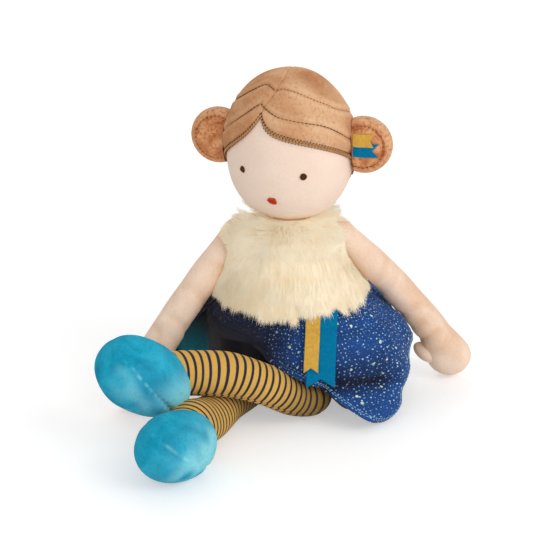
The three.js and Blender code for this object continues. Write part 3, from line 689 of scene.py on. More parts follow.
def jersey_finish(colours):
    """Striped jersey: rings of navy on mustard, counted along the leg, with knitted ribs."""
    finish = Finish("Striped jersey", 0.95, sheen=0.1, sheen_tint=(1, 0.9, 0.6, 1), specular=0.05)
    along = finish.value("along")
    wobble = finish.noise(finish.place(), 260.0)
    place = finish.plus(along, finish.times(wobble, 0.25))
    turn = finish.math("FRACT", finish.math("DIVIDE", place, STRIPE_PERIOD))
    from_middle = finish.math("ABSOLUTE", finish.math("SUBTRACT", turn, 0.5))
    navy = finish.ramp(from_middle, 0.15, 0.21, 1.0, 0.0)
    ribs = finish.math("SINE", finish.times(along, 9.0))
    wales = finish.math("SINE", finish.times(finish.value("around"), 110.0))
    knit = finish.times(ribs, wales)
    fuzz = finish.noise(finish.place(), 900.0)
    mustard = finish.mix(fuzz, colours.mustard_shade, colours.mustard)
    striped = finish.mix(navy, mustard, colours.navy)
    # Painted shade: the jersey darkens where the deep value says the skirt shades it.
    finish.colour(finish.mix(finish.value("deep"), striped, JERSEY_IN_SHADE))
    height = finish.plus(finish.times(knit, 0.4), fuzz)
    finish.relief(height, 0.0003, 0.6)
    return finish.material


def ribbon_finish(name, colour):
    """Woven ribbon: fine cross ribs and slubs."""
    finish = Finish(name, 0.75, specular=0.05)
    ribs = finish.math("SINE", finish.times(finish.value("along"), 11.0))
    slubs = finish.noise(finish.place(), 500.0)
    shade = finish.plus(finish.times(ribs, 0.2), slubs)
    dark = tuple(0.72 * part for part in colour)
    finish.colour(finish.mix(finish.ramp(shade, 0.2, 0.8), dark, colour))
    finish.relief(ribs, 0.00012, 0.6)
    return finish.material


FINISHES = {}


FINISH_MAKERS = {
    "skin": skin_finish, "print": print_finish, "lining": lining_finish, "jersey": jersey_finish,
    "hair": lambda c: velour_finish("Hair velour", c.hair_shade, c.hair, c.hair_light, 42.0, 0.42),
    "bun": lambda c: velour_finish("Bun velour", c.bun_shade, c.bun, c.hair_light, 120.0, 0.85),
    "boot": lambda c: velour_finish("Boot velour", c.boot_shade, c.boot, c.boot_light, 58.0, 0.3),
    "fur": lambda c: fur_finish("Fur strands", c.fur_root, c.fur),
    "fur_base": lambda c: fur_finish("Fur backing", c.fur_root, c.fur),
    "yellow": lambda c: ribbon_finish("Yellow ribbon", c.yellow_ribbon),
    "teal": lambda c: ribbon_finish("Teal ribbon", c.teal_ribbon),
}


def finish_for(key):
    """The material of that name, made once from the colours in the panel."""
    if key in FINISHES:
        return FINISHES[key]
    colours = bpy.context.scene.rag_doll_colours
    if key.endswith("_thread"):
        FINISHES[key] = thread_finish(key.replace("_", " ").capitalize(), getattr(colours, key))
    else:
        FINISHES[key] = FINISH_MAKERS[key](colours)
    return FINISHES[key]


def dress(piece, finish, body, slot, replaced=()):
    """Gives a finished piece its material and the body it rides on, and hides the nodes it stands for."""
    piece.data.materials.append(finish_for(finish))
    if body:
        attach(piece, body)
    if replaced:
        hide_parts(*replaced)
    return piece


def head_stitches(name, starts, ends, outward, radius, arch, thread, slot="brown_thread", replaced=()):
    """Stitches sewn into the head or the hair, which turn and move with it."""
    bits = thread_bits(name, turned(starts), turned(ends), turned(outward), radius, arch)
    dress(bits, thread, "head", slot, replaced)


# Forms of the stuffed body


def torso_radii(degrees, z):
    """Distance from the axis to the torso at an angle round from the front, and a height.

    The plan is an ellipse, and its half width passes through TORSO_SHAPE.
    """
    half = TORSO_HALF_WIDTH * through(TORSO_SHAPE, z / TORSO_TOP)
    angle = np.radians(degrees)
    return half / np.sqrt(np.sin(angle) ** 2 + (np.cos(angle) / DEPTH_RATIO) ** 2)


def round_places(degrees, radius, z):
    """Points at an angle round from the front (-Y) towards the doll's left (+X)."""
    angle = np.radians(degrees)
    return np.stack(np.broadcast_arrays(radius * np.sin(angle), -radius * np.cos(angle), z), -1)


def head_power(height):
    """The head's squareness: the crown is rounder than the chin."""
    return np.where(np.asarray(height) > 0, CROWN_SQUARENESS, CHIN_SQUARENESS)


def head_halves(grown=0.0):
    """The head's half width and half depth, grown by an offset."""
    sizes = bpy.context.scene.rag_doll_sizes
    return sizes.head_half_width / MM + grown, sizes.head_half_depth / MM + grown


def on_head(degrees, height, offset=0.0):
    """A point of the head, before its turn, at an angle from the nose and a height over its centre.

    The head is |x/a|^n + |y/b|^n + |z/c|^n = 1 turned round, with n from head_power, so the
    plan at a height is an ellipse of (1 - |z/c|^n)^(1/n). The offset is along its normal.
    """
    wide, deep = head_halves()
    degrees, height, offset = np.broadcast_arrays(degrees, height, offset)
    power = head_power(height)
    rise = np.clip(height / HEAD_HALF_HEIGHT, -1, 1)
    spread = (1 - np.abs(rise) ** power) ** (1 / power)
    angle = np.radians(degrees)
    sine, cosine = np.sin(angle), np.cos(angle)
    place = np.stack([wide * spread * sine, -deep * spread * cosine, HEAD_HALF_HEIGHT * rise], -1)
    normal = unit(np.stack([
        sine * spread ** (power - 1) / wide, -cosine * spread ** (power - 1) / deep,
        np.sign(rise) * np.abs(rise) ** (power - 1) / HEAD_HALF_HEIGHT], -1))
    return place + normal * offset[..., None] + HEAD_CENTRE, normal


def inside_head(points, offset=0.0):
    """Below 1 inside the head grown by an offset: its plan's and its height's shares, each to n."""
    local = turned(points, -HEAD_TURN) - HEAD_CENTRE
    wide, deep = head_halves(offset)
    plan = np.hypot(local[..., 0] / wide, local[..., 1] / deep)
    rise = np.abs(local[..., 2]) / (HEAD_HALF_HEIGHT + offset)
    power = head_power(local[..., 2])
    return plan**power + rise**power


def hairline(degrees):
    """Height of the hair's lower edge over the head's centre, round from the nose.

    A peak that falls away on both sides by exp(-|angle| / 9), a sweep down to the ears, and a
    level nape behind.
    """
    left = degrees - HAIR_PEAK_ANGLE
    swoop = np.exp(-np.abs(left) / PEAK_SPREAD)
    fall = HAIRLINE_LEFT_FALL * (left / (EAR_ANGLE - HAIR_PEAK_ANGLE)) ** 2
    on_left = (HAIR_PEAK_HEIGHT - HAIRLINE_LEFT) * swoop + HAIRLINE_LEFT - fall
    slope = HAIRLINE_RIGHT_SLOPE * left
    on_right = (HAIR_PEAK_HEIGHT - HAIRLINE_RIGHT) * swoop + HAIRLINE_RIGHT + slope
    front = np.where(left > 0, on_left, on_right)
    return mixed(front, -NAPE_DROP, smooth(np.abs(degrees), EAR_ANGLE, NAPE_ANGLE))


# Seams sewn through the hair: each passes through places of (angle, height) on the head.
HAIR_SEAMS = {
    "brow_right": [(-128, -10), (-100, 0), (-78, 8), (-65.2, 12.5), (-50, 19.3), (-38.2, 25.3),
                   (-28.4, 30.6), (-22.2, 33.3)],
    "brow_left": [(-22.2, 33.3), (-12.8, 30.3), (0.1, 26.6), (14.9, 24.6), (29, 22.9), (43.6, 20.7),
                  (56.9, 16.7), (76.6, 8.5), (100, 0), (128, -10)],
    "crown_right": [(-112, 22), (-80, 29), (-63.2, 33.7), (-54.4, 37), (-43.4, 40.7), (-29.1, 43.6),
                    (-10, 41.3)],
    "crown_left": [(-7, 41.3), (2.3, 42.3), (19.9, 40.9), (34.8, 38), (47.1, 35), (60.9, 31.4),
                   (69.6, 28.7), (112, 20)],
}


def seam_places(key, count):
    """A seam's places walked in equal steps: angles and heights."""
    path = np.array([(angle * MM_PER_DEGREE, height, 0) for angle, height in HAIR_SEAMS[key]])
    walked, _ = smooth_path(path, count)
    return walked[:, 0] / MM_PER_DEGREE, walked[:, 1]


def distance_to_lines(points, lines):
    """Least distance from each point to any point of the lines."""
    flat = points.reshape(-1, 3)
    least = np.full(len(flat), 1e9)
    for line in lines:
        for part in np.array_split(np.arange(len(flat)), max(1, len(flat) // 4000)):
            gaps = np.linalg.norm(flat[part][:, None] - line[None], axis=-1).min(1)
            least[part] = np.minimum(least[part], gaps)
    return least.reshape(points.shape[:-1])


def hair_lines():
    """The sewn lines of the hair as rows of points on the head."""
    return [on_head(*seam_places(key, 70), 1.7)[0] for key in HAIR_SEAMS]


def arm_axes(side):
    """The arm's own axes as rows: the shortest turn that takes straight down to its reach."""
    turn = Vector((0, 0, -1)).rotation_difference(Vector(ARM_REACH[side]))
    return np.array(turn.to_matrix()).T


def arm_bow(s, side):
    """How far the arm bends outwards at a distance s down it: bow * sin(pi s / length)."""
    return OUTWARDS[side] * ARM_BOW[side] * np.sin(np.pi * np.maximum(0, s) / ARM_LENGTH)


def arm_profile(s):
    """The arm's radius at a distance s down from the shoulder: a ball, a sleeve and a mitten."""
    radius = through([(0, ARM_ROOT_RADIUS), (ELBOW_PLACE, ARM_MID_RADIUS),
                      (WRIST_PLACE, WRIST_RADIUS), (PALM, HAND_RADIUS)], s)
    top = np.sqrt(np.clip(ARM_ROOT_RADIUS**2 - s**2, 0, None))
    tip = np.sqrt(np.clip(HAND_RADIUS**2 - (s - PALM) ** 2, 0, None))
    return np.where(s < 0, top, np.where(s > PALM, tip, radius))


def arm_distance(points, side):
    """How far points lie outside an arm, from its axis and its profile."""
    local = (points - SHOULDERS[side]) @ arm_axes(side).T
    along = np.clip(-local[..., 2], -ARM_ROOT_RADIUS + 0.01, ARM_LENGTH - 0.01)
    gap = np.hypot(local[..., 0] - arm_bow(along, side), local[..., 1]) - arm_profile(along)
    return np.where(-local[..., 2] < -ARM_ROOT_RADIUS, 99, gap)


def arms_distance(points):
    """How far points lie outside the nearer arm."""
    return np.minimum(arm_distance(points, "left"), arm_distance(points, "right"))


def boot_axes(side):
    """A boot's centre and its axes: toe, across and towards the sole."""
    boot = BOOTS[side]
    toe = unit(boot["toe"])
    across = unit(np.cross(boot["sole"], toe))
    centre = np.add(boot["centre"], BOOT_SETTLE[side])
    return centre, toe, across, unit(np.cross(toe, across))


def inside_boot(points, side):
    """Below 1 inside the boot: its section swells by sqrt(1 - t^2) (1 + 0.07 t) along the toe."""
    centre, toe, across, up = boot_axes(side)
    long, wide, high = VELOUR_HALVES[side]
    local = points - centre
    t = local @ toe / long
    swell = np.sqrt(np.clip(1 - t * t, 1e-6, None)) * (1 + BOOT_TAPER * t)
    section = np.hypot(local @ across / wide, local @ up / high) / swell
    return np.where(np.abs(t) < 1, section, 9)


# Forms of the clothes


def arm_dent(degrees, z, radius):
    """How far the arms press the skirt in.

    What the cloth would overlap an arm's near side by, o, is softened to (o + sqrt(o^2 + 30)) / 2
    and falls away round the skirt by a bell.
    """
    dent = 0
    for side in SIDES:
        at, reach = SHOULDERS[side], unit(ARM_REACH[side])
        along = (at[2] - z) / -reach[2]
        x, y = at[0] + reach[0] * along, at[1] + reach[1] * along
        thick = mixed(ARM_MID_RADIUS, HAND_RADIUS,
                      smooth(along, ARM_LENGTH - 2 * HAND_RADIUS - 25, ARM_LENGTH - HAND_RADIUS - 15))
        near = np.hypot(x, y) - thick / np.hypot(reach[0], reach[2]) - GATHER_DEPTH - 0.3
        away = (degrees - np.degrees(np.arctan2(x, -y)) + 540) % 360 - 180
        over = radius - near + ARM_AIR
        pressed = (over + np.sqrt(over**2 + DENT_SOFTNESS)) / 2 * bump(away, DENT_SPREAD)
        dent = dent + np.where(along > ARM_LENGTH, 0, pressed)
    return dent


def skirt_radius(degrees, z, gathered=1.0):
    """The skirt's plan is a rounded box, flatter in front, with a ripple for each gather.

    1 / radius^p = |sin / wide|^p + |cos / deep|^p, with p from 2 at the waist to 2.9 where full.
    """
    angle = np.radians(degrees)
    wide = SKIRT_HALF_WIDTH * through(SIDE_STOPS, z)
    full = (wide - WAIST_HALF_WIDTH) / (SKIRT_HALF_WIDTH - WAIST_HALF_WIDTH)
    front = SKIRT_FRONT_DEPTH * through(FRONT_STOPS, z)
    back = mixed(WAIST_HALF_DEPTH, SKIRT_BACK_DEPTH, full)
    deep = np.where(np.cos(angle) > 0, front, back)
    power = mixed(2, 2.9, full)
    radius = ((np.abs(np.sin(angle)) / wide) ** power
              + (np.abs(np.cos(angle)) / deep) ** power) ** (-1 / power)
    ripple = GATHER_DEPTH * smooth(WAIST_HEIGHT - z, 2, 30) * np.cos(SKIRT_GATHERS * angle)
    return radius + ripple * gathered - arm_dent(degrees, z, radius)


def skirt_lobe(degrees):
    """Share of the deep fold and its lip: full over 28 to 48 degrees on the doll's left front."""
    return window(degrees, 8, 28, 48, 70)


def skirt_folds(degrees, z):
    """Folds that the solid leaves plain, in millimetres outwards.

    Small sharp gathers that die away below the waist, a deep fold with a full lip under it and a
    softer one above on the doll's left front, slanting ripples on the right front, ARM_SWELLS
    beside the left arm, and soft creases.
    """
    angle = np.radians(degrees)
    pleats = 0.9 * np.cos(34 * angle + 2 * np.sin(5 * angle)) * bump(WAIST_HEIGHT - z, 26)
    lobe = skirt_lobe(degrees)
    low = z - through(FOLD_STOPS, degrees)
    valley = bump(low, mixed(5, 9, smooth(low, -2, 3)))
    sag = lobe * (-8 * valley + 10 * bump(low + 18, 11) + 3 * bump(low - 20, 8))
    high = window(degrees, 4, 24, 60, 84)
    sag = sag - 1.2 * high * bump(z - 60 - 0.05 * degrees, 5)
    front = window(degrees, -60, -40, -6, 8)
    sag = sag + front * 1.6 * np.sin((z - 0.5 * degrees) / 5.2) * smooth(WAIST_HEIGHT - z, 14, 30)
    places = round_places(degrees, 70, z)
    by_arm = 0
    for out, height, tall, turn, wide in ARM_SWELLS:
        by_arm = by_arm + out * bump(z - height, tall) * bump(degrees - turn, wide)
    creases = 0.8 * soft_noise(places * [1, 1, 1.6], 34, 3) + 0.35 * soft_noise(places, 13, 4)
    return pleats + sag + by_arm + creases * smooth(WAIST_HEIGHT - z, 4, 26)


def hem_height(degrees):
    """The hem over the floor: HEM_STOPS, evened out over 16 degrees, and 6 mm up at the corner."""
    shares = ((-8, 0.15), (-4, 0.22), (0, 0.26), (4, 0.22), (8, 0.15))
    evened = sum(share * through(HEM_STOPS, degrees + off) for off, share in shares)
    return evened + 6 * bump(degrees - 67, 9) + HEM_CLEARANCE


def lining_hem(degrees):
    """The lining's hem: the skirt's, but over the legs and at the left arm it hangs on inside.

    There it is a dark sheet whose painted shade fills the hollow under the skirt.
    """
    inside = window(degrees, -108, -92, -16, -4)
    hem = mixed(hem_height(degrees), np.minimum(hem_height(degrees), 26), inside)
    by_arm = window(degrees, 46, 56, 126, 134)
    return mixed(hem, np.minimum(hem, 1.5), by_arm)


def skirt_shade(degrees, full):
    """Share of the deep shade on the doll's right, from its front up to `full`, and to the arm."""
    return window(-degrees, -24, full, 90, 112)


def vest_outer(degrees, z):
    """Distance from the axis to the face of the fur: an ellipse that passes through VEST_STOPS."""
    grow = through(VEST_STOPS, z)
    angle = np.radians(degrees)
    return grow / np.sqrt((np.sin(angle) / VEST_HALF_WIDTH) ** 2
                          + (np.cos(angle) / VEST_FRONT_DEPTH) ** 2)


def vest_backing(degrees, z):
    """Distance to the vest's cloth: over the torso, the skirt's top and the collar."""
    torso = torso_radii(degrees, np.minimum(z, TORSO_TOP)) + 2.2
    skirt = skirt_radius(degrees, np.clip(z, 30, WAIST_HEIGHT), 0.5) + 1.8
    skirt = np.where(z > WAIST_HEIGHT + 3, 0, skirt)
    collar = 17 + 0.25 * np.maximum(z - 126, 0)
    widest = np.maximum(np.maximum(torso, skirt), collar)
    face = vest_outer(degrees, z)
    padded = np.maximum(widest, face - 3.6)
    spot = round_places(degrees, padded, z)
    clear = arms_distance(spot)
    out = smooth(clear, 0.5, 5) * (1 - smooth(z, 114, 126))
    return np.minimum(mixed(widest, padded, out), face - 1.5)


def vest_hem(degrees):
    """Height of the backing's hem, a little above where the fur ends."""
    side = np.sin(np.radians(degrees)) ** 2
    return mixed(VEST_HEM_FRONT, VEST_HEM_SIDE, side) + 6


# The pieces


def length_property(name, description, default):
    return FloatProperty(name=name, description=description, default=default, unit="LENGTH")


class RagDollSizes(bpy.types.PropertyGroup):
    """Sizes of the soft surfaces."""

    head_half_width: length_property(
        "Head half width", "From the middle of the head to its side", 0.0438)
    head_half_depth: length_property(
        "Head half depth", "From the middle of the head to its face", 0.040)
    hair_thickness: length_property(
        "Hair thickness", "Thickness of the velour that makes the hair", 0.0017)
    stitch_length: length_property(
        "Stitch length", "Length of one running stitch in the hair", 0.0024)
    thread_radius: length_property("Thread radius", "Radius of the sewing thread", 0.00028)
    strand_radius: length_property(
        "Fur strand radius", "Radius of one strand of fur at its root", 0.00019)
    strand_droop: length_property(
        "Fur droop", "How far a strand's tip hangs below its root", 0.016)
    strands: IntProperty(
        name="Strands of fur", description="Strands in each sector of the vest's front",
        default=12000, min=100)


def colour_property(name, description, red, green, blue):
    return FloatVectorProperty(
        name=name, description=description, subtype="COLOR", size=3, min=0, max=1,
        default=colour_of(red, green, blue)[:3])


class RagDollColours(bpy.types.PropertyGroup):
    """Colours of the cloths, threads, ribbons and fur."""

    skin: colour_property("Skin", "Brushed cotton of the head", 243, 220, 203)
    skin_warm: colour_property("Warm skin", "Brushed cotton of the arms", 244, 219, 198)
    skin_shade: colour_property("Skin shade", "Where the head's nap lies darker", 231, 199, 175)
    arm_shade: colour_property("Arm shade", "Where the arms' nap lies darker", 224, 184, 152)
    hair: colour_property("Hair", "Velour of the hair", 214, 163, 120)
    hair_shade: colour_property("Hair shade", "Where the hair's nap lies dark", 180, 121, 80)
    # Hair light is the colour of paler nap, and of the painted highlight on the hair.
    hair_light: colour_property("Hair light", "Where the hair's nap lies light", 226, 182, 142)
    bun: colour_property("Bun", "Velour of the buns", 230, 168, 120)
    bun_shade: colour_property("Bun shade", "Where the buns' nap lies dark", 186, 112, 68)
    boot: colour_property("Boot", "Velour of the boots", 42, 172, 202)
    boot_shade: colour_property("Boot shade", "Where the boots' nap lies dark", 14, 138, 172)
    # Boot light is the colour of nap pressed pale, and of the boots' painted highlight.
    boot_light: colour_property("Boot light", "Where the boots' nap is crushed", 138, 213, 225)
    fur: colour_property("Fur", "Tips of the fur", 246, 236, 216)
    fur_root: colour_property("Fur root", "Roots of the fur", 222, 200, 158)
    skirt: colour_property("Skirt", "Ground of the printed cotton", 30, 76, 144)
    skirt_shade: colour_property("Skirt shade", "Its dark parts", 15, 22, 48)
    teal: colour_property("Lining", "Lining of the skirt", 18, 120, 136)
    mustard: colour_property("Mustard", "Wide stripes of the jersey", 226, 184, 96)
    mustard_shade: colour_property("Mustard shade", "Its darker loops", 206, 156, 68)
    navy: colour_property("Navy", "Narrow stripes of the jersey", 50, 46, 68)
    yellow_ribbon: colour_property("Yellow ribbon", "The narrow ribbon", 228, 178, 78)
    teal_ribbon: colour_property("Teal ribbon", "The wide ribbon", 2, 126, 172)
    brown_thread: colour_property("Brown thread", "Eyes and hair seams", 96, 54, 30)
    tan_thread: colour_property("Tan thread", "Overlock along the hair's edge", 224, 168, 110)
    rust_thread: colour_property("Rust thread", "Stitches of the buns and crown", 176, 104, 56)
    red_thread: colour_property("Red thread", "Mouth", 240, 70, 36)
    blue_thread: colour_property("Blue thread", "Topstitching of the hem", 146, 190, 232)


class RAGDOLL_OT_torso(bpy.types.Operator):
    """Adds the stuffed torso and the neck."""

    bl_idname = "rag_doll.torso"
    bl_label = "Add torso and neck"

    def execute(self, context):
        """The torso's rings follow torso_radii; the neck is a stub with a ball top."""
        degrees = np.linspace(0, 360, 96, endpoint=False)
        z = TORSO_TOP * np.concatenate([[0, 0.004, 0.012], np.linspace(0.03, 0.995, 60)])
        radii = torso_radii(degrees[None], z[:, None])
        radii[0] -= 1.2
        radii[1] -= 0.4
        rings = round_places(degrees[None], radii, z[:, None])
        torso = closed_body("torso", rings, (0, 0, 0), (0, 0, TORSO_TOP))
        dress(torso, "skin", "torso", "skin_cloth", ["torso_skin", "torso_stuffing"])

        ball = (NECK_HIGH[2] - NOD_POINT[2])
        tilt = np.linspace(-0.6, 1.5, 24)
        stub = NECK_HIGH[0] * 0.8
        z = np.concatenate([[NECK_LOW[2]], NOD_POINT[2] + ball * np.sin(tilt)])
        radii = np.concatenate([[stub], ball * np.cos(tilt)])
        rings = round_places(degrees[None], radii[:, None], z[:, None])
        neck = closed_body("neck_stub", rings, (0, 0, NECK_LOW[2]), (0, 0, NECK_HIGH[2]))
        dress(neck, "skin", "neck", "skin_cloth", ["neck"])
        return {"FINISHED"}


class RAGDOLL_OT_head(bpy.types.Operator):
    """Adds the stuffed head."""

    bl_idname = "rag_doll.head"
    bl_label = "Add head"

    def execute(self, context):
        """Rings of on_head from the chin to the crown, with faint lumps of stuffing."""
        tilt = np.linspace(-np.pi / 2, np.pi / 2, 122)[1:-1, None]
        share = np.abs(np.sin(tilt)) ** (2 / head_power(tilt))
        height = HEAD_HALF_HEIGHT * np.sign(tilt) * share
        degrees = np.linspace(0, 360, 160, endpoint=False)[None]
        place, normal = on_head(degrees, height)
        place = place + normal * 0.25 * soft_noise(place, 42, 1)[..., None]
        # Under the velour the head is drawn in, so that it can't come through.
        covered = smooth(height - hairline((degrees + 180) % 360 - 180), 2.5, 5)
        place = place - normal * (0.7 * covered)[..., None]
        top = np.array([0, 0, HEAD_HALF_HEIGHT - 0.7]) + HEAD_CENTRE
        low = np.array([0, 0, -HEAD_HALF_HEIGHT]) + HEAD_CENTRE
        head = closed_body("head", turned(place), low, top)
        dress(head, "skin", "head", "skin_cloth", ["head_skin", "head_stuffing"])
        return {"FINISHED"}


def eye_edges(x):
    """Upper and lower edge of a round eye at a share x of its half width: the unit circle."""
    return np.sqrt(1 - x * x), -np.sqrt(1 - x * x)


def mouth_edges(x):
    """Upper and lower edge of the mouth: 1 - x^4 with a small dip, over a shifted ellipse."""
    above = 0.8 * (1 - x**4) + 0.05 * x - 0.08 * bump(x + 0.1, 0.3)
    return above, -np.sqrt(np.clip(1 - ((x - 0.15) / 1.15) ** 2, 0.01, None))


class RAGDOLL_OT_face(bpy.types.Operator):
    """Adds the embroidered eyes and mouth."""

    bl_idname = "rag_doll.face"
    bl_label = "Add face"

    def execute(self, context):
        """Satin stitch: upright threads side by side, each as long as the shape is there."""
        for name, degrees, height, half, shape, lean, thread in (
            ("eye_left_stitches", 24.9, -12.0, (2.25, 2.7), eye_edges, 0.1, "brown_thread"),
            ("eye_right_stitches", -33.7, -10.7, (2.05, 2.6), eye_edges, 0.15, "brown_thread"),
            ("mouth_stitches", -5.0, -30.3, (3.2, 3.7), mouth_edges, -0.12, "red_thread"),
        ):
            x = np.linspace(-0.94, 0.94, 11)
            above, below = shape(x)
            centre, normal = on_head(degrees, height, 0.1)
            right = unit(np.cross([0, 0, 1], normal))
            up = np.cross(normal, right)
            right, up = right * np.cos(lean) + up * np.sin(lean), up * np.cos(lean) - right * np.sin(lean)
            middle = centre + half[0] * x[:, None] * right
            start = middle + half[1] * below[:, None] * up
            end = middle + half[1] * above[:, None] * up
            ways = np.broadcast_to(normal, start.shape)
            node = name.replace("_stitches", "")
            head_stitches(name, start, end, ways, 0.3, 0.55, thread, thread, [node])
        return {"FINISHED"}


class RAGDOLL_OT_hair(bpy.types.Operator):
    """Adds the two velour halves of the hair, with their seams and the overlocked edge."""

    bl_idname = "rag_doll.hair"
    bl_label = "Add hair"

    # Width of the thin hem at the hair's edge, the step from one overlock loop to the next, and
    # the gaps between running stitches where they lie close and where they lie apart.
    HEM = 2.4
    LOOP_STEP = 2.2
    CLOSE_GAP = 0.25
    WIDE_GAP = 0.9

    def execute(self, context):
        sizes = context.scene.rag_doll_sizes
        thick = sizes.hair_thickness / MM
        lines = hair_lines()
        for name, side in OUTWARDS.items():
            self.half(name, side, thick, lines)
        self.seams(sizes)
        self.overlock(sizes)
        return {"FINISHED"}

    def half(self, name, side, thick, lines):
        """One half: a grid from the parting to the back seam and from the crown to its edge.

        It is 0.5 of a millimetre thick at its edge and full 5 mm from it, and it is drawn in
        by a bell along each sewn line, between two soft swellings.
        """
        u = np.linspace(0, 1, 150)[None]
        v = np.linspace(0, 1, 104)[:, None]
        parting = HAIR_PEAK_ANGLE * smooth(v, 0.1, 1)
        degrees = mixed(parting, side * 180, u)
        lowest = np.arcsin(hairline(degrees) / HEAD_HALF_HEIGHT)
        height = HEAD_HALF_HEIGHT * np.sin(mixed(np.arcsin(0.99999), lowest, v))
        flat, normal = on_head(degrees, height)
        across = np.hypot(flat[..., 0], flat[..., 1]) * np.radians(np.abs(side * 180 - parting))
        to_side = np.minimum(u, 1 - u) * across
        to_edge = (1 - v) * 60 + 0 * u
        thin = smooth(to_edge, self.HEM, 5.2)
        soft = np.clip(to_side / 1.2, 0, 1)
        swell = mixed(0.5, thick, thin) * mixed(0.72, 1, smooth(soft, 0, 1))
        swell = swell + 0.25 * soft_noise(flat, 30, 8) * thin
        sewn = distance_to_lines(flat + normal * thick, lines)
        swell = swell - 0.8 * bump(sewn, 1.1) * thin + 0.35 * bump(sewn - 3.2, 2.0) * thin
        over = flat + normal * (0.15 + np.maximum(swell, 0.1))[..., None]
        under = flat + normal * 0.1
        gap = (0.02 * side * (1 - 2 * u) ** 8)[..., None] * np.array([1, 0, 0])
        # Painted light: the velour is paler towards the doll's left, the side the light comes from, and a
        # painted highlight lies on the swellings beside the seams. The rest of its paleness is random
        # nap.
        to_left = smooth(flat[..., 0], -26, 30) - 0.5
        pale = smooth(soft_noise(flat, 30, 17) + 1.5 * to_left, -0.7, 1.3)
        crushed = np.clip(0.35 * bump(sewn - 2.8, 1.8) + 0.75 * pale, 0, 1)
        piece = thick_sheet(f"hair_{name}_velour", turned(over + gap), turned(under + gap), False,
                            {"crushed": crushed})
        dress(piece, "hair", "head", "hair_velour", [f"hair_{name}"])

    def seams(self, sizes):
        """Running stitches along each seam: nearly end to end, and short and apart on one."""
        radius = sizes.thread_radius / MM
        for key in HAIR_SEAMS:
            apart = key == "crown_left"
            length = sizes.stitch_length / MM * (0.6 if apart else 1)
            degrees, height = seam_places(key, 800)
            place, normal = on_head(degrees, height, 1.3)
            walked = length_along(place)
            gap = self.WIDE_GAP if apart else self.CLOSE_GAP
            starts = np.arange(0, walked[-1] - length, length + gap)
            first = places_along(place, walked, starts)
            last = places_along(place, walked, starts + length)
            ways = places_along(normal, walked, starts + length / 2)
            thread = "rust_thread" if apart else "brown_thread"
            head_stitches(f"hair_seam_{key}", first, last, ways, radius, 0.15, thread)

    def overlock(self, sizes):
        """Overlock along the hair's edge: slanting loops between two rows of short stitches."""
        radius = sizes.thread_radius / MM
        fine = np.linspace(-100, 100, 1400)
        edge, _ = on_head(fine, hairline(fine), 0.5)
        walked = length_along(edge)

        def spots(shift, rise, lift):
            places = np.arange(0, walked[-1], self.LOOP_STEP) + shift
            degrees = np.interp(places, walked, fine)
            return on_head(degrees, hairline(degrees) + rise, lift)

        step = self.LOOP_STEP
        for name, first, last, thick, thread, slot in (
            ("hair_overlock", (0, -0.5, 0.75), (0.9, 2.5, 0.95), 2.3, "tan_thread", "hair_velour"),
            ("hair_overlock_slant", (0.5 * step, 0.6, 0.95), (0.5 * step + 0.7, 2.2, 1.15), 0.8,
             "brown_thread", "brown_thread"),
            ("hair_overlock_edge", (0.3 * step, -0.5, 0.85), (0.75 * step, -0.4, 0.85), 1.25,
             "brown_thread", "brown_thread"),
            ("hair_overlock_top", (0, 2.7, 1.1), (0.5 * step, 2.7, 1.1), 1.3,
             "brown_thread", "brown_thread"),
        ):
            start, normal = spots(*first)
            end, _ = spots(*last)
            head_stitches(name, start, end, normal, radius * thick, 0.25, thread, slot)


def pad_swell(rho):
    """Half thickness of a flat pad at a share rho of its radius: (1 - rho^2.5)^0.5."""
    return np.sqrt(np.clip(1 - rho**2.5, 0, None))


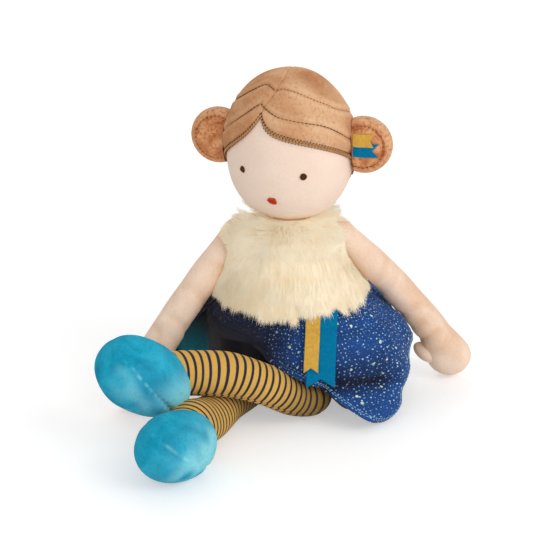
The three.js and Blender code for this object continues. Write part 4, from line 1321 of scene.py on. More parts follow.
class RAGDOLL_OT_buns(bpy.types.Operator):
    """Adds the two buns, each with its ring of stitches."""

    bl_idname = "rag_doll.buns"
    bl_label = "Add buns"

    def execute(self, context):
        for name, side in OUTWARDS.items():
            self.bun(name, side, context.scene.rag_doll_sizes)
        return {"FINISHED"}

    def surface(self, side, rho, angle, facing, lift=0.0):
        """A flat pad as thick as pad_swell says, drawn in by a ring of stitches."""
        ring = bump(rho - BUN_RING, 0.055)
        pucker = 0.35 * np.cos(26 * angle) * bump(rho - BUN_RING, 0.16)
        thick = BUN_HALF_THICKNESS * pad_swell(rho) * (1 - 0.22 * ring) + pucker + lift
        x = side * BUN_REACH + BUN_RADIUS * rho * np.cos(angle)
        y = BUN_SETBACK + facing * thick
        z = HEAD_CENTRE[2] + BUN_LIFT + BUN_RADIUS * rho * np.sin(angle)
        return np.stack(np.broadcast_arrays(x, y, z), -1)

    def clear_of_hair(self, points, side):
        """Moves what would lie in the hair out along X to the hair's face."""
        grow = 2.2
        local = points - HEAD_CENTRE
        wide, deep = head_halves(grow)
        rise = np.clip(np.abs(local[..., 2]) / (HEAD_HALF_HEIGHT + grow), 0, 0.999)
        power = head_power(local[..., 2])
        reach = (1 - rise**power) ** (1 / power)
        face = wide * np.sqrt(np.clip(reach**2 - (local[..., 1] / deep) ** 2, 0, None))
        moved = points.copy()
        moved[..., 0] = side * np.maximum(side * points[..., 0], face)
        return moved

    def bun(self, name, side, sizes):
        tilt = np.linspace(0, np.pi, 92)[1:-1, None]
        angle = full_turn(120)[None]
        rho, facing = np.sin(tilt), np.where(tilt < np.pi / 2, -1, 1)
        rings = self.surface(side, rho, angle, facing)
        lumps = soft_noise(rings, 16, 12 + side)
        rings[..., 1] -= 0.35 * lumps * (1 - rho[..., 0:1] ** 6)
        # On the buns the nap is paler outside the ring of stitches.
        crushed = np.broadcast_to(0.75 * smooth(rho, BUN_RING, 1), rings.shape[:2])
        rings = self.clear_of_hair(rings, side)
        ends = [self.clear_of_hair(self.surface(side, 0.0, 0.0, way), side) for way in (-1, 1)]
        bun = closed_body(f"bun_{name}_velour", turned(rings), turned(ends[0]), turned(ends[1]),
                          {"crushed": crushed})
        dress(bun, "bun", "head", "hair_velour", [f"bun_{name}"])
        for facing, where in ((-1, "front"), (1, "back")):
            angle = np.linspace(0, 2 * np.pi, 33)[:-1]
            start = self.surface(side, BUN_RING, angle, facing, 0.1)
            end = self.surface(side, BUN_RING, angle + 0.12, facing, 0.1)
            outside = side * start[:, 0] > sizes.head_half_width / MM * 0.94
            ways = np.broadcast_to([0.0, facing, 0.0], start.shape)
            head_stitches(f"bun_{name}_stitches_{where}", start[outside], end[outside],
                          ways[outside], 0.32, 0.25, "rust_thread")


def ribbon(name, width, length, place, notch, waves=0.0):
    """A ribbon with a swallow-tail end: place(x, s, lift) puts its points over what it lies on.

    At x across, the ribbon is length - notch (1 - |2u - 1|) long.
    """
    u = np.linspace(0, 1, 25)[None]
    v = np.linspace(0, 1, 70)[:, None]
    x = (u - 0.5) * width + 0 * v
    s = (length - notch * (1 - np.abs(2 * u - 1))) * v
    wave = waves * np.sin(2 * np.pi * s / length * 1.3) * smooth(s, 0, length / 3)
    over, under = place(x, s, RIBBON_THICKNESS + wave), place(x, s, wave)
    return thick_sheet(name, over, under, False, {"along": s})


class RAGDOLL_OT_hair_ribbons(bpy.types.Operator):
    """Adds the two ribbon tails on the left bun."""

    bl_idname = "rag_doll.hair_ribbons"
    bl_label = "Add hair ribbons"

    def execute(self, context):
        """Each lies on the bun's face, as far in front of its middle as pad_swell says."""

        def on_bun(middle, lift, start):
            def place(x, s, thick):
                across, rise = start + s, middle - x
                rho = np.clip(np.hypot(across, rise) / BUN_RADIUS, 0, 1)
                y = BUN_SETBACK - BUN_HALF_THICKNESS * pad_swell(rho) - 0.6 - lift - thick
                z = HEAD_CENTRE[2] + BUN_LIFT + rise
                return turned(np.stack(np.broadcast_arrays(BUN_REACH + across, y, z), -1))

            return place

        teal = ribbon("hair_ribbon_teal_cloth", 9.4, 17.5, on_bun(-0.6, 0.4, -5), SWALLOW_TAIL, 0.3)
        dress(teal, "teal", "hair_ribbons", "teal_ribbon", ["hair_ribbon_teal"])
        yellow = ribbon("hair_ribbon_yellow_cloth", 8.6, 14, on_bun(6.2, 1.3, -5), 2.0, 0.3)
        dress(yellow, "yellow", "hair_ribbons", "yellow_ribbon", ["hair_ribbon_yellow"])
        return {"FINISHED"}


class RAGDOLL_OT_arms(bpy.types.Operator):
    """Adds the two arms with their mitten hands."""

    bl_idname = "rag_doll.arms"
    bl_label = "Add arms"

    # Each fold's place down the arm, its depth and its width.
    FOLDS = ((104, 1.3, 2.4), (78, 1.3, 2.6), (55, 0.7, 3.5), (91, 0.6, 3))
    # How much fuller the left palm is on its inner side, and its place and spread down the arm.
    LEFT_PALM = (3, 124, 13)

    def execute(self, context):
        for side in SIDES:
            self.arm(side)
        return {"FINISHED"}

    def arm(self, side):
        """Rings of arm_profile down the reach, creased by FOLDS, with a seam along each side."""
        inwards = -OUTWARDS[side]
        turn = np.linspace(0, np.pi, 150)[1:-1]
        s = mixed(-ARM_ROOT_RADIUS, ARM_LENGTH, (1 - np.cos(turn)) / 2)[:, None]
        angle = full_turn(88)[None]
        radius = arm_profile(s) + 0 * angle
        flat = mixed(1, HAND_FLATNESS, smooth(s, WRIST_PLACE, PALM))
        facing = smooth(np.cos(angle + np.pi / 2 - 0.35 * inwards), 0, 0.9)
        crease_shade = 0
        # A fold is a dent with a swelling below it, and slants round the arm. Its dent is also painted
        # darker with shade.
        for place, depth, width in self.FOLDS:
            away = s - place - 3 * np.sin(angle)
            radius = radius - depth * facing * (bump(away, width) - 0.6 * bump(away - 5, 4))
            crease_shade = crease_shade + depth * facing * bump(away, 1.6 * width)
        if side == "left":
            fuller, place, width = self.LEFT_PALM
            inner = smooth(np.cos(angle) * inwards, 0, 1)
            radius = radius + fuller * bump(s - place, width) * inner
        seam = np.abs(np.sin(angle - 0.5))
        radius = radius - 0.35 * bump(seam, 0.04) * smooth(s, 0, 10)
        local = np.stack([radius * np.cos(angle), radius * flat * np.sin(angle), -s + 0 * angle], -1)
        local = local + unit(local * [1, 1, 0.001]) * (0.3 * soft_noise(local, 26, 21))[..., None]
        local[..., 0] += arm_bow(s, side)
        axes = arm_axes(side)
        rings = local @ axes + SHOULDERS[side]
        ends = [np.array([0, 0, z]) @ axes + SHOULDERS[side] for z in (ARM_ROOT_RADIUS, -ARM_LENGTH)]
        # Past 1 the skin's value paints shade into the folds.
        arm = closed_body(f"arm_{side}_cloth", rings, *ends, {"warm": 1 + 0.8 * crease_shade})
        dress(arm, "skin", f"arm_{side}", "skin_cloth", [f"arm_{side}"])
        self.thumb(side, inwards, axes)

    def thumb(self, side, inwards, axes):
        """An egg on the hand's inner edge, longer than it is thick and bent to the palm."""
        tilt = np.linspace(0, np.pi, 60)[1:-1, None]
        angle = full_turn(48)[None]
        along = np.cos(tilt)
        thick = np.sin(tilt) * (1 - 0.1 * along)
        size, place, inside, front = THUMBS[side]
        x = 1.05 * size * thick * np.cos(angle) - THUMB_BEND * inwards * (1 - along) ** 2 / 4
        y = 0.95 * size * thick * np.sin(angle)
        half = THUMB_STRETCH * size
        local = np.stack(np.broadcast_arrays(x, y, half * along), -1)
        shape = local.shape
        local = np.concatenate([local.reshape(-1, 3), [[0, 0, half]],
                                [[-THUMB_BEND * inwards, 0, -half]]])
        splay = inwards * THUMB_SPLAY
        c, s = np.cos(splay), np.sin(splay)
        local = local @ np.array([[c, 0, -s], [0, 1, 0], [s, 0, c]])
        placed = (local + [inwards * inside, -front, -place]) @ axes + SHOULDERS[side]
        rings = placed[:-2].reshape(shape)
        thumb = closed_body(f"thumb_{side}_cloth", rings, placed[-2], placed[-1], {"warm": 1.0})
        dress(thumb, "skin", f"arm_{side}", "skin_cloth")


class RAGDOLL_OT_legs(bpy.types.Operator):
    """Adds the two striped legs."""

    bl_idname = "rag_doll.legs"
    bl_label = "Add legs"

    # How much thicker each leg is at its ankle, how far it settles there, where its stripes start
    # and how far along it the skirt's shade reaches.
    FULLNESS = {"left": 1.8, "right": 2.6}
    SETTLE = {"left": (0, 0, -1), "right": (-1.3, 0.4, 2.2)}
    STRIPE_START = {"left": 0, "right": 2}
    UNDER_SKIRT = {"left": 58, "right": 60}
    # Where the right leg passes under the left one it is lifted and fuller by so much.
    CROSSING_LIFT = 2.2
    CROSSING_FULLNESS = 1.4

    def execute(self, context):
        for side in SIDES:
            self.leg(side)
        return {"FINISHED"}

    def leg(self, side):
        """A tube round a smooth path, from a ball in the hip to the boot's face.

        Each column of points ends where it meets the boot, and the rows are shared out before
        that. The stripes count the jersey's courses, which lie closer at the hip than at the
        stretched ankle, and which bow a little on the leg's upper side.
        """
        path = [tuple(HIPS[side]), *LEG_PATHS[side]]
        rows, columns = 170, 84
        centre, walked = smooth_path(path, rows)
        ahead = unit(np.gradient(centre, axis=0))
        across = unit(np.cross(ahead, [0, 0, 1]))
        up = np.cross(across, ahead)
        angle = full_turn(columns)
        share = walked / walked[-1]
        pulled = through([(0, 1.13), (0.45, 1.1), (0.75, 0.88), (1, 0.86)], share[1:])
        courses = np.concatenate([[0], np.cumsum(np.diff(walked) * pulled)])
        full = self.FULLNESS[side]
        centre = centre + smooth(share, 0.5, 0.85)[:, None] * np.array(self.SETTLE[side], float)
        crossing = bump(share - 0.78, 0.13) * (side == "right")
        centre[:, 2] += self.CROSSING_LIFT * crossing
        radius = through([(0, HIP_RADIUS - 1), (0.3, HIP_RADIUS), (0.65, CALF_RADIUS + 0.6 * full),
                          (1, ANKLE_RADIUS + full)], share)[:, None]
        radius = radius + self.CROSSING_FULLNESS * crossing[:, None]
        # The leg's own seam runs along its underside as a low ridge.
        ridge = 0.35 * bump(np.abs((angle + np.pi / 2 + 0.5 + np.pi) % (2 * np.pi) - np.pi), 0.05)
        wide = radius + ridge
        tube = (centre[:, None] + wide[..., None] * np.cos(angle)[None, :, None] * across[:, None]
                + wide[..., None] * np.sin(angle)[None, :, None] * up[:, None])
        tube = tube + (tube - centre[:, None]) * (0.014 * soft_noise(tube, 26, 31))[..., None]
        tube[..., 2] = np.maximum(tube[..., 2], 0.05)
        meets = inside_boot(tube, side) < 0.97
        last = np.where(meets.any(0), meets.argmax(0), rows - 1)
        place = np.linspace(0, 1, rows)[:, None] * last[None]
        low = np.floor(place).astype(int)
        part = (place - low)[..., None]
        column = np.arange(columns)[None]
        high = np.minimum(low + 1, rows - 1)
        rings = tube[low, column] * (1 - part) + tube[high, column] * part
        along = courses[low] * (1 - part[..., 0]) + courses[high] * part[..., 0]
        bow = unit(rings - centre[low]) @ unit(FACING)
        along = along + 1.8 * bow
        # The hip's ball closes the start, inside the torso's pocket.
        back = np.linspace(0.1, 1, 10)[:-1]
        ball = (centre[0] - ahead[0] * (HIP_RADIUS - 1) * np.sqrt(1 - back**2)[:, None, None]
                + back[:, None, None] * (rings[0] - centre[0]))
        rings = np.concatenate([ball, rings])
        under_skirt = self.UNDER_SKIRT[side]
        # Painted shade: the jersey is darker in the hip's ball and under the skirt, fading along the leg.
        deep = np.concatenate([np.full((len(back), columns), 0.6),
                               0.6 * (1 - smooth(along, under_skirt - 25, under_skirt + 15))])
        along = np.concatenate([np.zeros((len(back), columns)), along])
        # Beside the seam the stripes don't meet.
        beside = np.where((angle > 3.9) & (angle < 4.21), 1.6, 0)
        end = mixed(rings[-1].mean(0), np.array(BOOTS[side]["centre"]), 0.1)
        leg = closed_body(f"leg_{side}_jersey", rings, centre[0] - ahead[0] * (HIP_RADIUS - 1), end,
                          {"along": along + beside + self.STRIPE_START[side], "around": angle,
                           "deep": deep})
        dress(leg, "jersey", f"leg_{side}", "striped_stocking", [f"leg_{side}"])


class RAGDOLL_OT_boots(bpy.types.Operator):
    """Adds the two velour boots."""

    bl_idname = "rag_doll.boots"
    bl_label = "Add boots"

    # How far each seam's plane passes beside the boot's middle.
    SHIFT = {"left": 1.0, "right": 0.0}

    def execute(self, context):
        for side in SIDES:
            self.boot(side)
        return {"FINISHED"}

    def boot(self, side):
        """A long egg whose two panels meet in a seam that runs all round it.

        The seam lies in a plane through the egg, along BOOTS' seam and FACING. It is drawn in by
        a bell, deeper and puckered towards the heel, with a soft swelling on both sides. The
        velour is pressed pale along the seam's thread and in a patch beside it. The right boot's
        patch and the heel end of each boot are lighter with painted highlight, and the toe end
        is darker with painted shade.
        """
        centre, toe, across, up = boot_axes(side)
        long, wide, high = VELOUR_HALVES[side]
        tilt = np.linspace(-np.pi / 2, np.pi / 2, 132)[1:-1, None]
        angle = full_turn(176)[None]
        t = np.sin(tilt)
        swell = np.cos(tilt) * (1 + BOOT_TAPER * t)
        flat = (centre + (t * long)[..., None] * toe
                + (swell * wide * np.cos(angle))[..., None] * across
                + (swell * high * np.sin(angle))[..., None] * up)
        way = unit(BOOTS[side]["seam"])
        normal = unit(flat - centre)
        off = (flat - centre) @ unit(np.cross(way, FACING)) + self.SHIFT[side]
        along = (flat - centre) @ way
        heel = smooth(along, 8, 24) * (1 if side == "left" else 0.2)
        draw = -(0.15 + 1.8 * heel) * bump(off, 1.0 + 0.6 * heel)
        draw = draw + (0.25 + 0.5 * heel) * bump(np.abs(off) - 5, 4)
        pucker = (0.1 + 0.3 * heel) * np.sin(along * 2.1) * bump(off, 2.5)
        lumps = 0.45 * soft_noise(flat, 32, 41)
        rings = flat + normal * (draw + pucker + lumps)[..., None]
        rings[..., 2] = np.maximum(rings[..., 2], 0.05)
        streak = soft_noise(flat, 5, 43)
        thread = bump(off - 0.4, 0.9) * smooth(streak, -1.2, 1.6) * (1 - heel)
        thread = thread * (1 - smooth(np.abs(along), 17, 30))
        # A pale patch beside the seam; on the right boot it is a painted highlight over the heel half.
        patch_and_highlight = window(off, 0, 7, 10, 24) * smooth(along, -26, -4)
        if side == "right":
            patch_and_highlight = smooth(along, -6, 26)
        patch_and_highlight = patch_and_highlight * smooth(soft_noise(flat, 15, 44), -1.4, 1.2)
        # Painted highlight round the heel end, on one side of the seam.
        heel_highlight = smooth(along, 6, 32) * (1 - smooth(off, -2, 8))
        pale = 1.0 if side == "right" else 0.62
        # Painted shade towards the toe end.
        toe_shade = 0.25 * smooth(-along, 4, 26)
        crushed = np.clip(0.05 + 0.7 * thread + pale * patch_and_highlight + heel_highlight - toe_shade, 0, 1)
        ends = [centre - toe * (long - 0.6), centre + toe * (long - 0.6)]
        boot = closed_body(f"boot_{side}_velour", rings, *ends, {"crushed": crushed})
        dress(boot, "boot", f"leg_{side}", "boot_velour", [f"boot_{side}"])


class RAGDOLL_OT_skirt(bpy.types.Operator):
    """Adds the printed skirt, its lining and the topstitched hem."""

    bl_idname = "rag_doll.skirt"
    bl_label = "Add skirt"

    # Length of a stitch of the hem, and the step from one to the next.
    STITCH = 2.2
    STITCH_STEP = 2.9

    def cloth(self, name, rows, columns, out, hem, drape):
        """A closed sheet from the waist to its hem, offset outwards, with its folds.

        Below the skirt's own hem it hangs in towards the axis, by the share `drape`, and beside
        the arms it is drawn in until they are clear of it. The print's values count millimetres
        round and down the cloth.
        """
        degrees = np.linspace(-180, 180, columns)[None]
        v = np.linspace(0, 1, rows)[:, None]
        z = mixed(WAIST_HEIGHT, hem(degrees), v)
        radius = skirt_radius(degrees, z) + skirt_folds(degrees, z) + out
        above = z - hem_height(degrees)
        inner = mixed(57, 50, smooth(degrees, -52, -34))
        inner = mixed(inner, 66, smooth(degrees, 50, 66))
        radius = mixed(radius, np.minimum(radius, inner), drape * (1 - smooth(above, -6, 12)))
        if drape == 0:
            radius = radius + 0.45 * (1 - smooth(above, 3.2, 3.9))
        for _ in range(4):
            room = arms_distance(round_places(degrees, radius, z))
            radius = radius - np.maximum(0, 1 + out - room)
        over = round_places(degrees, radius, z)
        under = round_places(degrees, radius - SKIRT_CLOTH * 0.7, z)
        if drape:
            # Painted shade: the lining is darkened to nearly black from the doll's right side round the
            # front, and a little less from its left side, ending at the left back.
            dark = smooth(degrees, -90, -78) * (1 - 0.4 * smooth(degrees, 60, 100))
            dark = dark * (1 - smooth(degrees, 108, 124))
            return thick_sheet(name, over, under, False, {"deep": dark})
        # Painted shade: darker on the doll's right front and along the deep fold, and nearly black just
        # over the hem in the hollow over the legs.
        low = z - through(FOLD_STOPS, degrees)
        crease = skirt_lobe(degrees) * (0.75 * bump(low - 2, 4.5) + 0.42 * bump(low - 11, 10))
        dark = np.maximum(skirt_shade(degrees, 20), np.minimum(crease, 1))
        hollow = window(-degrees, 0, 20, 84, 98) * (1 - smooth(above, 1, 15))
        steps = np.linalg.norm(np.diff(over, axis=0), axis=-1)
        down = np.concatenate([np.zeros((1, columns)), np.cumsum(steps, axis=0)])
        return thick_sheet(name, over, under, False,
                           {"around": np.radians(degrees) * SKIRT_MEAN_RADIUS, "down": down,
                            "deep": dark, "hollow": hollow})

    def execute(self, context):
        """Both cloths and the hem's two rows of stitches are baked in place and ride on no body."""
        outer = self.cloth("skirt_print", 90, 541, 0, hem_height, 0)
        dress(outer, "print", None, "printed_cotton", ["skirt_outer"])
        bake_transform(outer)
        lining = self.cloth("skirt_lining_cloth", 72, 301, -SKIRT_CLOTH - 0.3, lining_hem, 1)
        dress(lining, "lining", None, "teal_lining", ["skirt_lining"])
        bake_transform(lining)
        for number, (name, rise) in enumerate((("hem_topstitch", 3.1), ("hem_topstitch_upper", 4.6))):
            stitches = self.topstitch(name, rise, number)
            dress(stitches, "blue_thread", None, "printed_cotton")
            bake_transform(stitches)
        return {"FINISHED"}

    def topstitch(self, name, rise, number):
        """Running stitches at a height over the hem, the second row half a step on."""
        fine = np.linspace(-180, 180, 4000)
        z = hem_height(fine) + rise
        radius = skirt_radius(fine, z) + skirt_folds(fine, z) + 0.25
        line = round_places(fine, radius, z)
        walked = length_along(line)
        starts = np.arange(1.4 * number, walked[-1] - 3, self.STITCH_STEP)
        first = places_along(line, walked, starts)
        last = places_along(line, walked, starts + self.STITCH)
        outward = unit(first * [1, 1, 0])
        turn = np.interp(starts, walked, fine)
        # Painted shade on the stitches of the doll's right front.
        deep = np.repeat(skirt_shade(turn, 10), THREAD_RINGS * THREAD_SIDES)
        return thread_bits(name, first, last, outward, 0.4, 0.25, {"deep": deep})


class RAGDOLL_OT_waist_ribbons(bpy.types.Operator):
    """Adds the two ribbon tails that hang over the skirt."""

    bl_idname = "rag_doll.waist_ribbons"
    bl_label = "Add waist ribbons"

    # Where both start under the fur, and the angles round the skirt whose folds they lie on.
    TOP = VEST_HEM_FRONT + 5.5
    FOLD_ANGLES = np.arange(8, 33, 3.0)

    def execute(self, context):
        """Each hangs from under the fur, a little in front of the skirt."""

        def over_skirt(middle, lift):
            def place(x, s, thick):
                z = self.TOP - s
                degrees = np.degrees(np.arctan2(middle + x, SKIRT_FRONT_DEPTH))
                folds = np.max(skirt_folds(self.FOLD_ANGLES[:, None, None], z[None]), axis=0)
                radius = skirt_radius(degrees, z, 0.0) + np.maximum(folds, 0) + 0.9 + lift + thick
                spot = round_places(degrees, radius, z)
                spot[..., 0] = middle + x
                return spot

            return place

        teal = ribbon("waist_ribbon_teal_cloth", 19.4, self.TOP - 31, over_skirt(26.6, 0.3),
                      6.0, 0.25)
        dress(teal, "teal", None, "teal_ribbon", ["waist_ribbon_teal"])
        yellow = ribbon("waist_ribbon_yellow_cloth", 9.8, self.TOP - 41, over_skirt(20, 1.5),
                        3.6, 0.25)
        dress(yellow, "yellow", None, "yellow_ribbon", ["waist_ribbon_yellow"])
        # What lies over the hinge is sewn on, and each tail is baked in place.
        for tail in (teal, yellow):
            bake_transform(tail)
        return {"FINISHED"}


class RAGDOLL_OT_vest(bpy.types.Operator):
    """Adds the fur vest: its backing and its pile of separate strands."""

    bl_idname = "rag_doll.vest"
    bl_label = "Add fur vest"

    # The sectors of the pile, from one angle to another.
    SECTORS = {"front_right": (-90, -30), "front_middle": (-30, 30), "front_left": (30, 90),
               "back_left": (90, 180), "back_right": (-180, -90)}
    # Locks in a sector, and the longest strand that isn't dropped.
    LOCKS = 900
    LONGEST = 23
    # How far along a strand its three rings lie, and their shares of its radius.
    RING_PLACES = np.array([0.0, 0.4, 0.75])
    RING_RADII = np.array([1.0, 0.9, 0.55])

    def execute(self, context):
        sizes = context.scene.rag_doll_sizes
        degrees = np.linspace(-180, 180, 240, endpoint=False)[None]
        v = np.linspace(0, 1, 90)[:, None]
        z = mixed(VEST_TOP - 2, vest_hem(degrees), v)
        radius = vest_backing(degrees, z)
        over = round_places(degrees, radius, z)
        lumps = 0.4 * soft_noise(over, 7, 51) + 0.3 * soft_noise(over, 15, 52)
        over = round_places(degrees, radius + lumps, z)
        under = round_places(degrees, radius - 1.4, z)
        backing = thick_sheet("fur_backing", over, under, True, {"tip": 0.7, "shade": 0.5})
        dress(backing, "fur_base", "torso", "cream_fur", ["fur_vest"])
        for number, (name, (low, high)) in enumerate(self.SECTORS.items()):
            count = sizes.strands if high - low < 90 else int(0.75 * sizes.strands)
            self.pile(f"fur_{name}", 61 + number, low, high, count, sizes)
        return {"FINISHED"}

    def roots(self, rng, low, high, count):
        """Strand roots spread evenly over the backing: cells are drawn by their area."""
        degrees = np.linspace(low, high, 101)[None]
        v = np.linspace(0, 1, 121)[:, None]
        z = mixed(VEST_TOP - 2, vest_hem(degrees), v)
        grid = round_places(degrees, vest_backing(degrees, z), z)
        sides = np.cross(grid[1:, :-1] - grid[:-1, :-1], grid[:-1, 1:] - grid[:-1, :-1])
        area = np.linalg.norm(sides, axis=-1).ravel()
        cell = rng.choice(len(area), count, p=area / area.sum())
        row, column = np.divmod(cell, 100)
        turn = mixed(low, high, (column + rng.random(count)) / 100)
        share = (row + rng.random(count)) / 120
        return turn, mixed(VEST_TOP - 2, vest_hem(turn), share)

    def pile(self, name, seed, low, high, count, sizes):
        """A sector of fur. A strand leaves the backing and bends over to lie along the pile.

        The tip is drawn towards the tip of its lock, so that strands gather in soft locks. A
        strand is a three-sided cone in three steps along root (1-t)^2 + 2 knee t (1-t) + tip t^2.
        Its shading follows the face of the pile as much as its own sides, as fine pile's does.
        """
        rng = np.random.default_rng(seed)
        turn, z = self.roots(rng, low, high, count)
        lock_turn, lock_z = self.roots(rng, low - 4, high + 4, self.LOCKS)
        flat = np.stack([turn * MM_PER_DEGREE, z], -1)
        lock_flat = np.stack([lock_turn * MM_PER_DEGREE, lock_z], -1)
        nearest = np.concatenate([
            np.argmin(((part[:, None] - lock_flat[None]) ** 2).sum(-1), 1)
            for part in np.array_split(flat, 24)])
        root = round_places(turn, vest_backing(turn, z) - 0.4, z)
        tip, knee = self.tips(rng, turn, z, root, sizes)
        lock_root = round_places(lock_turn, vest_backing(lock_turn, lock_z), lock_z)
        lock_tip, _ = self.tips(rng, lock_turn, lock_z, lock_root, sizes)
        pull = rng.uniform(0.0, 0.55, (count, 1))
        tip = mixed(tip, lock_tip[nearest] + rng.normal(0, 0.7, (count, 3)), pull)
        stray = rng.random(count) < 0.04
        tip[stray] += rng.normal(0, 1.8, (stray.sum(), 3))
        kept = self.clear(root, knee, tip) & (np.linalg.norm(tip - root, axis=-1) < self.LONGEST)
        lock_shade = rng.random(len(lock_turn))[nearest]
        # Each strand takes its own tone and its lock's, and round the collar it is painted lighter where
        # the head's shadow falls.
        shade = (0.4 * rng.random(count) + 0.6 * lock_shade + 0.4 * smooth(z, 106, 124))[kept]
        root, knee, tip = root[kept], knee[kept], tip[kept]
        t = self.RING_PLACES
        line = (root[:, None] * ((1 - t) ** 2)[:, None] + knee[:, None] * (2 * t * (1 - t))[:, None]
                + tip[:, None] * (t**2)[:, None])
        ahead = unit(tip - root)
        side = unit(np.cross(ahead, [0.0, 0.0, 1.0]) + 1e-6)
        other = np.cross(ahead, side)
        angle = 2 * np.pi * np.arange(3) / 3
        thick = sizes.strand_radius / MM * self.RING_RADII
        out = (np.cos(angle)[:, None] * side[:, None] + np.sin(angle)[:, None] * other[:, None])
        ring = line[:, :, None] + thick[:, None, None] * out[:, None]
        many = len(root)
        # Nine points in three rings, and the tip.
        points = np.concatenate([ring.reshape(many, 9, 3), tip[:, None]], 1)
        face = unit(line[:, 1] * [1, 1, 0] + [0, 0, 9.0])
        ways = np.concatenate([np.tile(out, (1, 3, 1)), face[:, None]], 1)
        ways = unit(ways * 0.55 + face[:, None])
        numbers = np.arange(many * 10).reshape(many, 10)
        rings = numbers[:, :9].reshape(many, 3, 3)
        right = np.roll(rings, -1, axis=2)
        quads = np.stack([rings[:, :-1], right[:, :-1], right[:, 1:], rings[:, 1:]], -1).reshape(-1, 4)
        point = np.repeat(numbers[:, 9:], 3, axis=1)
        ends = np.stack([rings[:, 2], right[:, 2], point], -1).reshape(-1, 3)
        base = rings[:, 0, ::-1]
        tips = np.tile(np.repeat([0.0, 0.45, 0.8, 1.0], [3, 3, 3, 1]), (many, 1))
        shades = np.repeat(shade[:, None], 10, axis=1)
        piece = make_piece(name, points.reshape(-1, 3), [quads, ends, base],
                           {"tip": tips, "shade": shades}, ways.reshape(-1, 3))
        dress(piece, "fur", "torso", "cream_fur")

    def tips(self, rng, turn, z, root, sizes):
        """Where strands end and bend.

        They hang down the face of the pile, round the collar they stand out, and on the doll's
        right shoulder they are swept sideways. Near the hem they end in short, uneven wisps, and
        over the waist ribbons they end higher and stand out.
        """
        droop = sizes.strand_droop / MM
        collar = smooth(z, 108, 129)
        swept = window(-turn, 8, 55, 95, 130) * smooth(z, 92, 116)
        hang = droop * mixed(1.0, -0.2, collar) * rng.uniform(0.7, 1.15, len(z)) - 7 * swept
        sweep = 4.5 * soft_noise(root, 24, 71) + rng.normal(0, 1.5, len(z)) - 13 * swept
        side = np.sin(np.radians(turn)) ** 2
        by_ribbons = window(turn, 11, 18, 41, 48)
        wisps = 2.5 * soft_noise(round_places(turn, 50, 0 * turn), 8, 72)
        lowest = mixed(VEST_HEM_FRONT, VEST_HEM_SIDE, side) - 2.5 + wisps
        lowest = lowest + 3.4 * by_ribbons + rng.normal(0, 1.5, len(z))
        clumps = soft_noise(root, 8, 73)
        end_z = np.maximum(z - hang, lowest)
        end_z = end_z + collar * (2.2 * clumps + rng.normal(0, 1.2, len(z)))
        held = np.clip(end_z, vest_hem(turn), VEST_TOP - 1)
        under = vest_backing(turn + sweep, held) + 2.4 * (1 - smooth(z, 112, 124))
        over = np.maximum(np.maximum(vest_outer(turn + sweep, np.clip(end_z, 66, VEST_TOP - 1)), under),
                          skirt_radius(turn + sweep, np.clip(end_z, 40, WAIST_HEIGHT), 0.5) + 1.6)
        tuft = window(-turn, 48, 78, 112, 135) * smooth(z, 98, 112)
        over = over + 4 * tuft + 4.4 * by_ribbons * (1 - smooth(z, 84, 96))
        over = over - 3 * smooth(turn, 40, 62) * (1 - smooth(turn, 98, 120)) * smooth(z, 84, 98)
        length = rng.uniform(0.9, 1.06, len(z)) + 0.07 * collar * clumps
        inner = np.hypot(root[:, 0], root[:, 1])
        end = round_places(turn + sweep, inner + (over - inner) * length, end_z)
        knee = round_places(turn + 0.4 * sweep, inner + (over - inner) * 0.9, mixed(z, end_z, 0.3))
        return end, knee

    def clear(self, root, knee, tip):
        """Strands that keep clear of the arms and the head."""
        kept = np.ones(len(root), bool)
        for points, room in ((root, 0.5), (mixed(root, knee, 0.7), 0.2), (mixed(knee, tip, 0.5), -0.2),
                             (tip, -1.2)):
            kept &= inside_head(points, room) > 1
            for side in SIDES:
                kept &= arm_distance(points, side) > room
        return kept


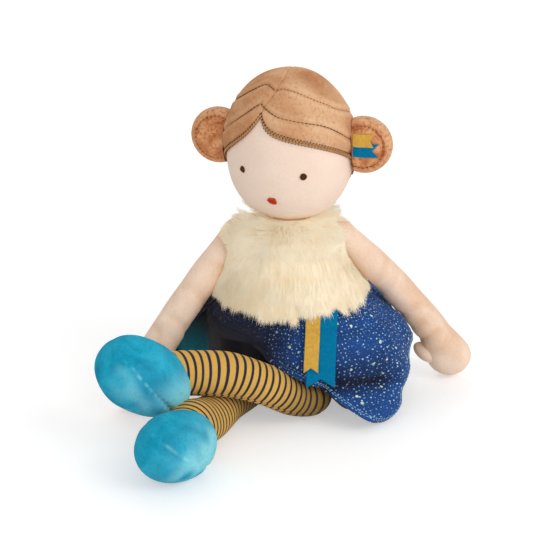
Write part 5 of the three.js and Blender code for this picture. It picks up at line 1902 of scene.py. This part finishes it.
class RAGDOLL_OT_stage(bpy.types.Operator):
    """Adds the floor, the lights, the world and the camera."""

    bl_idname = "rag_doll.stage"
    bl_label = "Add stage"

    CAMERA_PLACE = (0.088218, -1.124220, 0.496024)
    CAMERA_TARGET = (-0.01006, -0.00088, 0.0856)
    CAMERA_LENS = 112.2
    LAMP_TARGET = (0, 0, 0.1)
    # Each lamp's place, the side of its square and its power.
    LAMPS = {
        "Key light": ((1.7, -1.2, 1.3), 1.5, 18.5),
        "Front light": ((0.2, -2.1, 0.5), 1.6, 9.0),
        "Fill light": ((-1.5, -1.2, 1.6), 1.8, 1.0),
        "Back light": ((-0.4, 1.5, 1.6), 1.4, 9.0),
    }

    def execute(self, context):
        scene = context.scene
        scene.view_settings.view_transform = "Standard"
        self.camera(scene)
        self.floor()
        self.world(scene)
        for name, (place, size, power) in self.LAMPS.items():
            self.lamp(name, place, size, power)
        return {"FINISHED"}

    def camera(self, scene):
        data = bpy.data.cameras.new("Camera")
        data.lens = self.CAMERA_LENS
        data.clip_end = 50
        camera = bpy.data.objects.new("Camera", data)
        scene.collection.objects.link(camera)
        camera.location = self.CAMERA_PLACE
        camera.rotation_mode = "QUATERNION"
        ahead = Vector(self.CAMERA_TARGET) - camera.location
        camera.rotation_quaternion = ahead.to_track_quat("-Z", "Y")
        scene.camera = camera

    def floor(self):
        """A wide plane that shows white to the camera and keeps the doll's shadow."""
        mesh = bpy.data.meshes.new("floor")
        half = 12.0
        corners = [(-half, -half, 0), (half, -half, 0), (half, half, 0), (-half, half, 0)]
        mesh.from_pydata(corners, [], [(0, 1, 2, 3)])
        floor = bpy.data.objects.new("floor", mesh)
        bpy.context.scene.collection.objects.link(floor)
        finish = Finish("Floor", 0.9, specular=0.0)
        finish.shader.inputs["Base Color"].default_value = (0.97, 0.97, 0.97, 1)
        path = finish.add("ShaderNodeLightPath")
        seen = finish.math("MAXIMUM", path.outputs["Is Camera Ray"], path.outputs["Is Glossy Ray"])
        seen = finish.math("MAXIMUM", seen, path.outputs["Is Transmission Ray"])
        white = finish.add("ShaderNodeEmission", {"Color": (1, 1, 1, 1), "Strength": 1.6})
        mix = finish.add("ShaderNodeMixShader", {0: finish.times(seen, 0.26)})
        output = finish.tree.nodes["Material Output"]
        finish.tree.links.new(finish.shader.outputs[0], mix.inputs[1])
        finish.tree.links.new(white.outputs[0], mix.inputs[2])
        finish.tree.links.new(mix.outputs[0], output.inputs["Surface"])
        mesh.materials.append(finish.material)

    def world(self, scene):
        world = bpy.data.worlds.new("World")
        scene.world = world
        world.use_nodes = True
        recipe = Recipe(world.node_tree)
        path = recipe.add("ShaderNodeLightPath")
        seen = recipe.math("MAXIMUM", path.outputs["Is Camera Ray"], path.outputs["Is Glossy Ray"])
        seen = recipe.math("MAXIMUM", seen, path.outputs["Is Transmission Ray"])
        strength = recipe.ramp(seen, 0.0, 1.0, 0.62, 1.0)
        background = world.node_tree.nodes["Background"]
        background.inputs["Color"].default_value = (1, 1, 1, 1)
        world.node_tree.links.new(strength, background.inputs["Strength"])

    def lamp(self, name, place, size, power):
        data = bpy.data.lights.new(name, "AREA")
        data.size = size
        data.energy = power
        lamp = bpy.data.objects.new(name, data)
        lamp.location = place
        ahead = Vector(self.LAMP_TARGET) - lamp.location
        lamp.rotation_euler = ahead.to_track_quat("-Z", "Y").to_euler()
        bpy.context.scene.collection.objects.link(lamp)


STEPS = (
    RAGDOLL_OT_stage, RAGDOLL_OT_torso, RAGDOLL_OT_head, RAGDOLL_OT_face, RAGDOLL_OT_hair,
    RAGDOLL_OT_buns, RAGDOLL_OT_hair_ribbons, RAGDOLL_OT_arms, RAGDOLL_OT_legs, RAGDOLL_OT_boots,
    RAGDOLL_OT_skirt, RAGDOLL_OT_waist_ribbons, RAGDOLL_OT_vest,
)


class RAGDOLL_PT_panel(bpy.types.Panel):
    """Lists the steps, sizes and colours in the 3D view's sidebar."""

    bl_label = "Rag doll"
    bl_idname = "RAGDOLL_PT_panel"
    bl_space_type = "VIEW_3D"
    bl_region_type = "UI"
    bl_category = "Rag doll"

    def draw(self, context):
        for step in STEPS:
            self.layout.operator(step.bl_idname)
        for group in (context.scene.rag_doll_sizes, context.scene.rag_doll_colours):
            for key in group.__annotations__:
                self.layout.prop(group, key)


CLASSES = (RagDollSizes, RagDollColours, *STEPS, RAGDOLL_PT_panel)


def register():
    for item in CLASSES:
        bpy.utils.register_class(item)
    bpy.types.Scene.rag_doll_sizes = PointerProperty(type=RagDollSizes)
    bpy.types.Scene.rag_doll_colours = PointerProperty(type=RagDollColours)


def unregister():
    del bpy.types.Scene.rag_doll_colours
    del bpy.types.Scene.rag_doll_sizes
    for item in reversed(CLASSES):
        bpy.utils.unregister_class(item)


def main():
    register()
    for step in STEPS:
        category, name = step.bl_idname.split(".")
        getattr(getattr(bpy.ops, category), name)()


if __name__ == "__main__":
    main()
